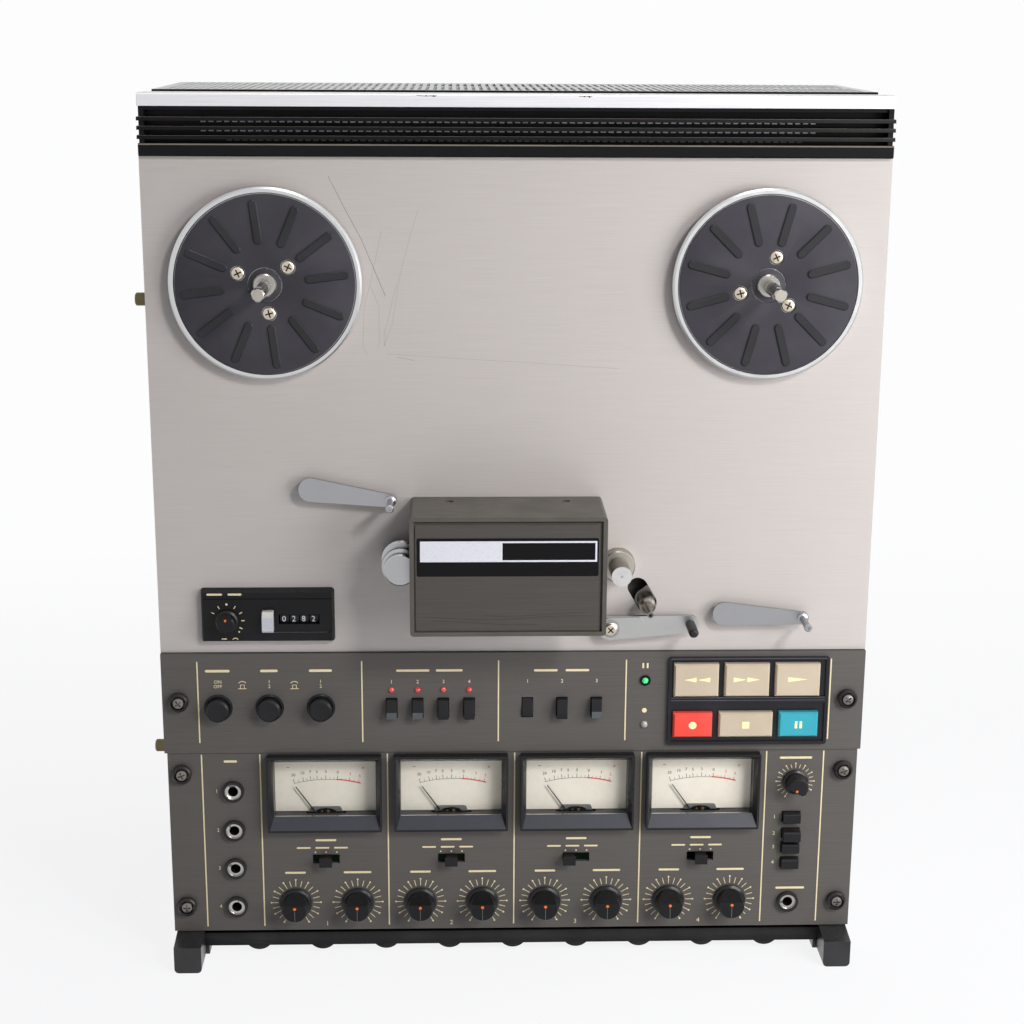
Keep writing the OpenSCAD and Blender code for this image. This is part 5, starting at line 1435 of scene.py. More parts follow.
@dataclass(frozen=True)
class Reel:
    """Reel table with its mat, its three screws and its spindle tip.

    Attributes:
        side: Which one, "left" or "right".
        x: Its axis across.
        rib_phase: Turn of the first rib in degrees, clockwise from the top.
        screw_phase: Turn of the first screw in degrees, clockwise from the top.
        z: Its axis up.
        screw_ring: Radius on which the screws lie.
        slim: Share by which the spindle's collar is drawn in.
        hub: Radius of the nickel hub.
        seat: Front and rear Y of the ring between hub and mat.
        seat_radii: Inner and outer radius of that ring.
    """

    side: str
    x: float
    rib_phase: float
    screw_phase: float
    z: float = 444.9
    screw_ring: float = 17.3
    slim: float = 0.16
    hub: float = 9.9
    seat: Flat = (-10.7, -8.9)
    seat_radii: Flat = (7.6, 10.4)

    def build(self) -> None:
        """Builds the pieces that turn with the reel."""
        body = f"{self.side}_reel"
        name = f"turned_aluminium_{self.side}_table"
        face = Turned(name, "#d0d0d1", "#b8b8b9", 0.34, (self.x, self.z), 0.55)

        def table_part(middle: Vector, normal: Vector) -> int:
            """Tells shaft, hub ring, spindle and disc apart."""
            reach = math.hypot(middle.x - self.x, middle.z - self.z)
            if middle.y > 0.5:
                return 2
            on_seat = self.seat[0] < middle.y < self.seat[1]
            if normal.y < -0.8 and on_seat and self.seat_radii[0] < reach < self.seat_radii[1]:
                return 3
            return int(reach < self.hub)

        finishes = (face, Kit.NICKEL, Kit.MOTOR, Kit.RUBBER)
        table = dress(f"reel_table_{self.side}", *finishes, bevel=0.25, choose=table_part)

        def drawn_in(place: Vector) -> Vector:
            """Draws the spindle's collar in to the width that it has in the photograph."""
            away = Vector((place.x - self.x, 0.0, place.z - self.z))
            if place.y < -9.5 and 6.0 < away.length < 8.6:
                place -= away * self.slim
            return place

        reshape(table, drawn_in)
        mat = RibbedMat(
            outer=53.4, inner=10.35, front=-9.0, back=-7.2, ribs=12, phase=self.rib_phase,
            hole=4.6, hole_ring=self.screw_ring, hole_phase=self.screw_phase,
        )
        rib = Form().prism(rounded_points(0.0, 37.2, 5.0, 26.4, 2.48, 6), -10.0, -8.6, 0.55)
        thing = piece(
            f"reel_mat_{self.side}_look", mat.mesh(self.x, self.z, rib, Kit.RUBBER, Kit.RIB_RUBBER),
            [Kit.RUBBER.build(), Kit.RIB_RUBBER.build()], body,
        )
        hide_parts(f"reel_mat_{self.side}")
        for i in range(3):
            turn = math.radians(self.screw_phase + 120 * i)
            across, up = self.screw_ring * math.sin(turn), self.screw_ring * math.cos(turn)
            form = screw_head(radius=4.15, front=-7.25, dome=2.2, turn=25.0 + 40 * i)
            form.move(self.x + across, 0.0, self.z + up)
            show(f"{self.side}_table_screw_{i + 1}", form, [Kit.WARM_NICKEL, Kit.DARK_FILL], body)
        dress(f"reel_lock_{self.side}", Kit.NICKEL, Kit.TIP_FACE, bevel=0.2, choose=facing)


@dataclass(frozen=True)
class Deck:
    """Deck panel with reels, arms, roller, capstan and cue lever.

    Attributes:
        reels: The two reels.
    """

    reels: tuple[Reel, ...] = (
        Reel("left", -150.0, 22.8, -67.0),
        Reel("right", 150.0, 15.0, 14.0),
    )

    def build(self) -> None:
        """Builds every piece of the deck."""
        dress("deck_panel", Kit.DECK, bevel=0.0)
        self.scratches()
        for reel in self.reels:
            reel.build()
        for side in ("left", "right"):
            dress(f"tension_arm_{side}", Kit.ARM, bevel=0.3)
        dress("tape_roller", Kit.CHROME, Kit.ROLLER_CAP, bevel=0.15, choose=facing)
        dress("capstan", Kit.CAPSTAN, Kit.MOTOR, bevel=0.2, choose=lambda m, n: int(m.y > 2.0))
        dress("pinch_arm", Kit.STEEL_POST, bevel=0.2)
        self.cue_lever()

    def scratches(self) -> None:
        """Wiry scratches that years of reel changes left beside the left reel."""
        routes = (
            ((-112.0, 508.0), (-102.0, 488.0), (-93.0, 471.0), (-86.0, 454.0), (-79.0, 437.0)),
            ((-72.0, 400.0), (-62.0, 398.0)),
            ((-81.0, 476.0), (-86.0, 454.0), (-92.0, 429.0), (-93.0, 406.0), (-90.0, 402.0)),
            ((-88.0, 443.0), (-83.0, 431.0), (-83.0, 410.0), (-84.0, 406.0)),
            (
                (-59.0, 489.0), (-64.0, 473.0), (-70.0, 451.0), (-75.0, 421.0),
                (-80.0, 407.0), (-80.0, 414.0), (-75.0, 434.0), (-72.0, 445.0),
            ),
            ((-79.0, 402.0), (-40.0, 399.5), (10.0, 396.5), (62.0, 393.0)),
        )
        form = Form()
        for number, route in enumerate(routes):
            width = 0.16 if number else 0.26
            form.paint(int(number > 1), smooth=False).stroke(route, width, -0.02, 0.05)
        show("deck_scratches", form, [Kit.SCRATCH, Kit.FAINT_SCRATCH])

    def cue_lever(self) -> None:
        """Lever with its screw and the rubber on its pin."""
        pin_x, pin_z, screw_x, screw_z = 109.6, 231.9, 59.4, 229.3
        body = Body.CUE_LEVER.value

        def part(middle: Vector, normal: Vector) -> int:
            """Tells the rubber of the pin from the lever."""
            near = math.hypot(middle.x - pin_x, middle.z - pin_z)
            return 1 if near < 3.4 and middle.y < -8.5 else 0

        dress("cue_lever", Kit.SATIN_PLATE, Kit.TIP_RUBBER, bevel=0.3, choose=part)
        form = screw_head(radius=3.9, front=-9.7, dome=1.3, turn=45.0).move(screw_x, 0.0, screw_z)
        show("cue_lever_screw", form, [Kit.WARM_NICKEL, Kit.DARK_FILL], body)
        boss = Form().ring(screw_x, screw_z, 5.0, 5.5, -9.85, -9.6, 40)
        show("cue_lever_boss", boss, [Kit.NICKEL], body)


@dataclass(frozen=True)
class HeadCover:
    """Folded cover over the heads, its label film, its two screws and the heads under it.

    Attributes:
        plate: Y of the raised inset plate.
        left: X of the label's left edge.
        right: X of its right edge.
        split: X where the label's light field ends.
        top: Z of its upper edge.
        foot: Z of its lower edge.
        frame: Lowest and highest Z of its light frame.
        screw_xs: Where the cover screws stand across.
    """

    plate: float = -49.5
    left: float = -60.6
    right: float = 47.9
    split: float = -9.6
    top: float = 300.0
    foot: float = 276.4
    frame: Flat = (285.4, 298.2)
    screw_xs: Flat = (-41.1, 30.2)

    def build(self) -> None:
        """Builds the cover's pieces."""
        low, high = FRONT.box("head_cover")

        def part(middle: Vector, normal: Vector) -> int:
            """Tells the inset plate and the bare edges from the cover."""
            flat = normal.y < -0.9 and middle.y < -48.0
            if flat and middle.y > low.y + 0.3:
                return 1
            edge = middle.y < low.y + 0.6 and not flat and -0.95 < normal.y < -0.2
            return 2 if edge else 0

        dress("head_cover", Kit.COVER, Kit.COVER_PLATE, Kit.BARE_EDGE, bevel=0.28, choose=part)
        dress("tape_heads", Kit.HEAD, Kit.ZINC, bevel=0.0, choose=lambda m, n: int(m.y > -6.0))
        self.label()
        for number, x in enumerate(self.screw_xs):
            form = screw_head(radius=2.35, front=-0.2, dome=1.5, turn=30.0 + 50 * number)
            form.tip(-90.0, "X").move(x, -11.0, high.z - 2.6)
            show(f"cover_screw_{number + 1}", form, [Kit.WARM_NICKEL, Kit.DARK_FILL])

    def label(self) -> None:
        """Film on the front with a light field and a light frame."""
        film = Form()
        middle_x, middle_z = (self.left + self.right) / 2, (self.top + self.foot) / 2
        outline = rounded_points(middle_x, middle_z, self.right - self.left, self.top - self.foot, 1.0, 3)
        film.prism(outline, self.plate - 0.12, self.plate + 0.05)
        film.paint(1, smooth=False)
        x0, x1, (z0, z1) = self.left + 2.0, self.right - 1.0, self.frame
        front, back, line = self.plate - 0.2, self.plate - 0.1, 1.1
        film.box((x0, self.split), (front, back), (z0, z1))
        film.box((self.split, x1), (front, back), (z1 - line, z1))
        film.box((self.split, x1), (front, back), (z0, z0 + line))
        film.box((x1 - line, x1), (front, back), (z0 + line, z1 - line))
        show("cover_label", film, [Kit.DARK_FILL, Kit.WHITE_INK_AND_PAINTED_LIGHT])
        marks = Form()
        count = 14
        for start, rise, end in ((-57.0, 250.5, 44.0), (-52.0, 247.2, 12.0), (-20.0, 252.6, 40.0)):
            steps = [start + (end - start) * i / count for i in range(count + 1)]
            wave = [(x, rise + 1.1 * math.sin(x / 17.0 + start)) for x in steps]
            marks.stroke(wave, 0.35, self.plate - 0.02, self.plate + 0.05)
        show("cover_marks", marks, [Kit.COVER_SMEAR])


# Printing


@dataclass(frozen=True)
class Print:
    """Screen printing on one panel face.

    Attributes:
        face: Y of the face.
        form: What has been printed so far.
    """

    face: float
    form: Form = field(default_factory=lambda: Form(smooth=False))

    @property
    def depth(self) -> Flat:
        """Gives the front and the rear Y of the ink."""
        return ink_depth(self.face)

    def line(self, x: float, z0: float, z1: float, width: float = 0.82) -> None:
        """Prints an upright dividing line."""
        self.form.box((x - width / 2, x + width / 2), self.depth, (z0, z1))

    def bar(self, x: float, z: float, width: float, height: float) -> None:
        """Prints a short bar with round ends, which marks a group of controls."""
        self.form.prism(rounded_points(x, z, width, height, height / 2, 4), *self.depth)

    def dot(self, x: float, z: float, radius: float) -> None:
        """Prints a dot."""
        self.form.prism(circle_points(x, z, radius, 14), *self.depth)

    def numbers(self, places: Iterable[tuple[str, float, float]], height: float) -> None:
        """Prints numbers."""
        for text, x, z in places:
            self.form.number(text, x, z, height, *self.depth)

    def push_sign(self, x: float, z: float) -> None:
        """Prints the sign of a push-push button: a cap on a base line under an arc.

        Args:
            x: Its middle across.
            z: Its middle up.
        """
        width, reach, cap, foot, top = 0.45, 2.6, 1.2, z - 1.9, z + 0.6
        self.form.arc(x, z + 0.4, reach, width, (30, 150), *self.depth)
        self.form.stroke([(x - reach, foot), (x + reach, foot)], width, *self.depth)
        outline = [(x - cap, foot), (x - cap, top), (x + cap, top), (x + cap, foot)]
        self.form.stroke(outline, width, *self.depth)

    def done(self, name: str, finish: Finish) -> None:
        """Ends the printing."""
        show(name, self.form, [finish])


@dataclass(frozen=True)
class Dial:
    """Ticks round a knob, grown by the array rule, with a dot at the end of each second one.

    Attributes:
        name: Name of the piece.
        x: Axis across.
        z: Axis up.
        inner: Radius where the ticks begin.
        outer: Radius where they end.
        count: Number of ticks.
        start: Turn of the first tick in degrees, clockwise from the top.
        step: Turn from one tick to the next.
        face: Y of the printed face.
        width: Width of a tick.
        dots: Radius of the dots, 0 for none.
    """

    name: str
    x: float
    z: float
    inner: float
    outer: float
    count: int
    start: float
    step: float
    face: float
    width: float = 0.42
    dots: float = 0.62

    def build(self, slot: str) -> None:
        """Grows the ticks and the dots.

        Args:
            slot: Not used.
        """
        depth = ink_depth(self.face)
        half = self.width / 2
        self.grow("ticks", Form(smooth=False).box((-half, half), depth, (self.inner, self.outer)), 1)
        if self.dots:
            outline = circle_points(0, self.outer + 0.7 * self.dots, self.dots, 12)
            self.grow("dots", Form(smooth=False).prism(outline, *depth), 2)

    def grow(self, kind: str, element: Form, every: int) -> None:
        """Repeats one mark round the dial.

        Args:
            kind: End of the piece's name.
            element: The mark, drawn above the origin.
            every: Number of steps from one mark to the next.
        """
        count = (self.count + every - 1) // every
        rule = Array(count, (self.x, 0.0, self.z), start=self.start, step=every * self.step)
        mesh = rule.of(element, Kit.CREAM)
        piece(f"{self.name}_{kind}", mesh, [Kit.CREAM.build()], Body.RECORDER.value)


# Counter

POINTER = (-14.62, -14.4)  # Front and rear Y of the pointer dots on the level and pitch knobs


@dataclass(frozen=True)
class CounterBox:
    """Box with the pitch control, the reset button and the tape counter.

    Attributes:
        face: Y of the box's face.
        wheel_xs: Middles of the four digit wheels.
        pitch: Axis of the pitch control.
    """

    face: float = -5.0
    wheel_xs: tuple[float, ...] = tuple(-147.2 + 2.7 + 6.1 * i for i in range(4))
    pitch: Flat = (-179.7, 234.9)

    def build(self) -> None:
        """Builds the pieces of the box."""
        dress("counter_box", Kit.BOX, bevel=0.35)

        def shaft(middle: Vector, normal: Vector) -> int:
            """Tells the shaft from the wheels."""
            return int(abs(normal.x) < 0.5 and middle.y > 13.0)

        dress("counter_wheels", Kit.WHEEL, Kit.NICKEL, bevel=0.12, choose=shaft)
        digits = Form(smooth=False)
        for x, text in zip(self.wheel_xs, "0282"):
            digits.number(text, x, 235.2, 3.6, -2.5, -2.0)
        show("counter_digits", digits, [Kit.WHITE_INK_AND_PAINTED_LIGHT], Body.COUNTER_WHEELS.value)

        def upper(middle: Vector, normal: Vector) -> int:
            """Tells the upper faces, painted lighter as lit, from the others, which are painted greyer as
            shaded.
            """
            return int(normal.z > 0.3)

        dress("counter_reset", Kit.RESET_SIDE_PAINTED_SHADE, Kit.RESET_TOP_PAINTED_LIGHT, bevel=0.7, choose=upper)
        dress("pitch_knob", Kit.KNOB, Kit.KNOB_FACE, bevel=0.25, choose=face_of(-13.9))
        pointer = Form().prism(circle_points(*self.at(0.0, 2.9), 0.75, 14), *POINTER)
        show("pitch_pointer", pointer, [Kit.ORANGE], Body.PITCH_KNOB.value)
        ink = Print(self.face)
        ink.dot(*self.at(0.0, 10.6), 0.75)
        ink.dot(*self.at(135.0, 10.4), 0.5)
        ink.bar(-187.0, 251.9, 9.6, 1.3)
        ink.bar(-174.5, 251.9, 8.6, 1.3)
        ink.bar(-181.8, 222.9, 3.4, 0.6)
        ink.form.arc(-174.8, 221.4, 2.0, 0.5, (35, 145), *ink.depth)
        ink.done("counter_box_print", Kit.CREAM)
        for name, count, start in (("pitch_dial", 2, -60.0), ("pitch_dial_right", 4, 30.0)):
            dial = Dial(
                name, *self.pitch, inner=8.9, outer=10.9, count=count, start=start, step=30.0,
                face=self.face, width=0.55, dots=0.0,
            )
            dial.build("black_moulding")
        # A grey line along the lower edge of the counter's recess is a painted highlight.
        recess_highlight = Form(smooth=False).box((-153.0, -117.5), (-4.32, -4.2), (226.6, 227.0))
        show("counter_recess_highlight", recess_highlight, [Kit.GREY_PAINTED_LIGHT])

    def at(self, degrees: float, radius: float) -> Flat:
        """Gives a place round the pitch control."""
        turn = math.radians(degrees)
        return self.pitch[0] + radius * math.sin(turn), self.pitch[1] + radius * math.cos(turn)


def face_of(level: float) -> Rule:
    """Makes a rule that picks the front face of a knob or key."""
    return lambda middle, normal: int(normal.y < -0.8 and middle.y < level)


# Transport panel


@dataclass(frozen=True)
class TransportPanel:
    """Dark panel with the push buttons, the lamps and the transport keys.

    Attributes:
        face: Y of the panel.
        low: Lower end of the dividing lines.
        high: Their upper end.
        lines: Where they stand across.
        buttons: Middles of the round buttons.
        function_xs: Middles of the function keys.
        output_xs: Middles of the output keys.
        frame_x: Middle of the frame of the transport keys.
        frame_highlight_lines: Painted highlights along arrises of that frame: height and length.
        screw_xs: Columns of the panel screws.
        screw_zs: Their rows.
        headings: Bars over the groups: middle across and up, and width.
        lamp_x: Middle of the lamps beside the transport keys.
    """

    face: float = -2.5
    low: float = 152.6
    high: float = 207.0
    lines: tuple[float, ...] = (-199.8, -96.6, -10.4, 70.5, 200.8)
    buttons: tuple[float, ...] = (-187.2, -154.9, -122.6)
    function_xs: tuple[float, ...] = (-78.0, -61.5, -45.2, -28.9)
    output_xs: tuple[float, ...] = (8.0, 29.9, 51.8)
    frame_x: float = 148.4
    frame_highlight_lines: tuple[Flat, ...] = ((182.0, 98.0), (180.2, 98.0), (208.1, 99.0))
    screw_xs: Flat = (-212.0, 212.0)
    screw_zs: tuple[float, ...] = (39.4, 131.4, 180.7)
    headings: tuple[Point, ...] = (
        (-64.5, 200.5, 21.0), (-41.5, 200.5, 17.0), (19.5, 200.2, 15.0), (39.5, 200.2, 15.0),
    )
    lamp_x: float = 82.6

    def build(self) -> None:
        """Builds the panel's pieces."""
        dress("transport_panel", Kit.PANEL, bevel=0.0)
        dress("panel_screws", Kit.OXIDE, Kit.STEEL_SCREW, bevel=0.2, choose=self.screw_part)
        dress("key_bezels", Kit.BEZEL, bevel=0.2)
        # Light lines along the arrises of the key frame are painted highlights.
        painted_highlights = Form(smooth=False)
        for z, wide in self.frame_highlight_lines:
            ends = (self.frame_x - wide / 2, self.frame_x + wide / 2)
            painted_highlights.box(ends, (-4.98, -4.8), (z - 0.14, z + 0.14))
        show("key_frame_painted_highlights", painted_highlights, [Kit.FRAME_HIGHLIGHT])
        for name in ("power_button", "reel_size_button", "speed_button"):
            dress(name, Kit.KNOB, Kit.BUTTON_FACE, bevel=0.3, choose=face_of(-10.3))
        self.printing()
        self.small_keys()
        self.lamps()
        self.keys()

    def screw_part(self, middle: Vector, normal: Vector) -> int:
        """Tells the screws from their cup washers; see face_of for the form of a rule."""
        places = [(x, z) for x in self.screw_xs for z in self.screw_zs]
        return int(any(math.hypot(middle.x - x, middle.z - z) < 4.05 for x, z in places))

    def printing(self) -> None:
        """Prints lines, numbers, switch signs and the bars of the groups."""
        ink = Print(self.face)
        for x in self.lines:
            ink.line(x, self.low, self.high)
        for x, width in zip(self.buttons, (15.5, 11.0, 14.5)):
            ink.bar(x, 200.8, width, 1.7)
        for x, (upper, lower) in zip(self.buttons, (("ON", "OFF"), ("1", "2"), ("1", "2"))):
            ink.numbers([(upper, x, 193.6), (lower, x, 190.5)], 2.2)
        for x, z in ((-171.8, 190.9), (-139.1, 190.7)):
            ink.push_sign(x, z)
        for bank in (self.function_xs, self.output_xs):
            ink.numbers([(str(i + 1), x, 193.1) for i, x in enumerate(bank)], 2.3)
        for x, z, width in self.headings:
            ink.bar(x, z, width, 1.5)
        for x in (self.lamp_x - 1.4, self.lamp_x + 1.4):
            ink.form.box((x - 0.55, x + 0.55), ink.depth, (201.3, 204.7))
        ink.dot(self.lamp_x, 172.9, 1.6)
        ink.done("transport_print", Kit.CREAM)

    def small_keys(self) -> None:
        """Dresses the two banks of small keys; the faces of a few keys carry a painted reflection, a lighter
        grey.
        """
        reflecting_keys = (self.function_xs[0], self.function_xs[1], self.output_xs[2])

        def part(middle: Vector, normal: Vector) -> int:
            """Tells the key faces that carry the painted reflection from the others."""
            near = any(abs(middle.x - x) < 3.4 for x in reflecting_keys)
            return int(near and normal.y < -0.8 and middle.z < 177.0)

        dress("function_keys", Kit.KNOB, Kit.KEY_FACE_REFLECTION, bevel=0.3, choose=part)
        dress("output_keys", Kit.KNOB, Kit.KEY_FACE_REFLECTION, bevel=0.3, choose=part)

    def lamps(self) -> None:
        """Red, green and clear indicator lamps."""
        dome = ((1.75, 0.2), (1.75, -0.35), (1.45, -1.0), (0.8, -1.45), (0.2, -1.55))
        red = Form()
        for x in self.function_xs:
            red.turned(x, 187.7, [(r, self.face + y) for r, y in dome], 20)
        show("function_lamps", red, [Kit.RED_LENS])
        holder = Form().ring(self.lamp_x + 0.1, 193.2, 2.0, 3.4, self.face - 0.9, self.face + 0.2, 28)
        show("lamp_holder", holder, [Kit.MOULDING])
        for name, z, lens in (("pause_lamp", 193.2, Kit.GREEN_LENS), ("record_lamp", 163.5, Kit.CLEAR_LENS)):
            large = [(1.25 * r, self.face + 1.25 * y) for r, y in dome]
            form = Form().turned(self.lamp_x, z, large, 24)
            show(name, form, [lens])

    def keys(self) -> None:
        """The six transport keys and their signs."""
        for name, finish, slot in (
            ("rewind_key", Kit.BEIGE, "beige_key"),
            ("fast_forward_key", Kit.BEIGE, "beige_key"),
            ("play_key", Kit.BEIGE, "beige_key"),
            ("stop_key", Kit.BEIGE, "beige_key"),
            ("record_key", Kit.RED, "red_key"),
            ("pause_key", Kit.BLUE, "blue_key"),
        ):
            dress(name, finish, bevel=0.45)
            low, high = FRONT.box(name)
            x, z, depth = (low.x + high.x) / 2, (low.z + high.z) / 2 + 0.6, ink_depth(low.y)
            form = Form(smooth=False)
            if name == "rewind_key":
                for shift in (-8.0, 0.7):
                    form.prism([(x + shift, z), (x + shift + 8, z - 1.6), (x + shift + 8, z + 1.6)], *depth)
            elif name == "fast_forward_key":
                for shift in (-8.7, 0.0):
                    form.prism([(x + shift + 8, z), (x + shift, z + 1.6), (x + shift, z - 1.6)], *depth)
            elif name == "play_key":
                form.prism([(x + 6.2, z), (x - 6.2, z + 1.6), (x - 6.2, z - 1.6)], *depth)
            elif name == "record_key":
                form.prism(circle_points(x, z - 0.6, 2.5, 28), *depth)
            elif name == "stop_key":
                form.box((x - 2.3, x + 2.3), depth, (z - 2.9, z + 1.7))
            else:
                for shift in (-1.5, 1.5):
                    form.box((x + shift - 0.8, x + shift + 0.8), depth, (z - 3.0, z + 1.8))
            show(name + "_sign", form, [Kit.KEY_CREAM], name + "_body")


# Amplifier panel


@dataclass(frozen=True)
class Meter:
    """Level meter: scale, figures, red arc, cover of the movement and window.

    Attributes:
        index: Number of the channel, from 0.
        x: Middle of the channel.
        card: Y of the scale card's face.
        lean: Middle of the arc from the middle of the channel.
        pivot: Middle of the arc up.
        reach: Radius of the arc.
        figures: Figures on the black part of the scale, each with its place from the middle and up.
        red_figures: The same on the red part.
        ticks: Places of the short black ticks from the middle.
        red_ticks: Places of the short red ticks.
    """

    index: int
    x: float
    card: float = 6.0
    lean: float = 0.8
    pivot: float = 41.6
    reach: float = 82.0
    figures: tuple[tuple[str, float, float], ...] = (
        ("20", -20.6, 126.8), ("10", -14.5, 128.1), ("7", -9.7, 128.9),
        ("5", -5.4, 128.9), ("3", 0.3, 129.0), ("0", 8.0, 128.5),
    )
    red_figures: tuple[tuple[str, float, float], ...] = (("3", 16.0, 127.3), ("5", 22.1, 125.8))
    ticks: tuple[float, ...] = (-17.4, -12.0, -7.5, -2.6, 3.1, 5.6)
    red_ticks: tuple[float, ...] = (10.4, 13.1, 18.6)

    def build(self) -> None:
        """Builds the meter's own pieces."""
        number, x, depth = self.index + 1, self.x, ink_depth(self.card)
        centre = (x + self.lean, self.pivot)
        ink = Form(smooth=False)
        ink.arc(*centre, self.reach, 0.22, (104.9, 85.8), *depth)
        for text, dx, z in self.figures:
            ink.number(text, x + dx, z, 1.9, *depth)
            self.tick(ink, dx, 2.9, 0.28)
        for dx in self.ticks:
            self.tick(ink, dx, 1.7, 0.2)
        ink.stroke([(x - 24.9, 132.1), (x - 22.9, 132.1)], 0.3, *depth)
        ink.paint(1, smooth=False)
        ink.arc(*centre, self.reach + 0.2, 0.75, (85.8, 74.6), *depth)
        for text, dx, z in self.red_figures:
            ink.number(text, x + dx, z, 1.9, *depth)
            self.tick(ink, dx - 0.4, 2.4, 0.3)
        for dx in self.red_ticks:
            self.tick(ink, dx, 1.6, 0.22)
        for dx, dz in ((0.9, 0.0), (0.0, 0.9)):
            ink.stroke([(x + 24.4 - dx, 131.4 - dz), (x + 24.4 + dx, 131.4 + dz)], 0.3, *depth)
        show(f"meter_print_{number}", ink, [Kit.BLACK_INK, Kit.RED_INK])
        self.movement()
        window = Form(smooth=False).box((x - 32.5, x + 32.5), (-2.6, -1.9), (101.9, 138.9))
        show(f"meter_window_{number}", window, [Kit.WINDOW])

    def tick(self, form: Form, dx: float, length: float, width: float) -> None:
        """Prints one tick that stands on the arc.

        Args:
            form: Form that gets it.
            dx: Place of the tick from the channel's middle.
            length: Its length.
            width: Its width.
        """
        turn = math.asin((dx - self.lean) / (self.reach + length))
        across, up = math.sin(turn), math.cos(turn)
        radii = (self.reach + 0.2, self.reach + length)
        ends = [(self.x + self.lean + r * across, self.pivot + r * up) for r in radii]
        form.stroke(ends, width, *ink_depth(self.card))

    def movement(self) -> None:
        """Grey cover over the movement, with an arch that shows the coil and a hairspring."""
        x, z = self.x, 101.75
        rise = ((10.8, 0.0), (9.6, 2.9), (8.4, 3.3))
        left = [(x - dx, z + dz) for dx, dz in rise]
        right = [(x + dx, z + dz) for dx, dz in reversed(rise)]
        cover = Form().prism(left + right, 4.55, 5.98, 0.25).paint(1)
        turns = [math.pi * i / 12 for i in range(13)]
        cover.prism([(x + 6.6 * math.cos(a), z + 2.6 * math.sin(a)) for a in turns], 4.5, 4.7)
        cover.paint(2).turned(x + 1.6, z + 0.35, [(0.95, 4.55), (0.95, 4.47), (0.4, 4.46)], 16)
        cover.turned(x - 2.4, z + 0.3, [(0.6, 4.55), (0.6, 4.47), (0.3, 4.46)], 16)
        finishes = [Kit.METER_GREY, Kit.DARK_FILL, Kit.BRASS]
        show(f"meter_movement_{self.index + 1}", cover, finishes)


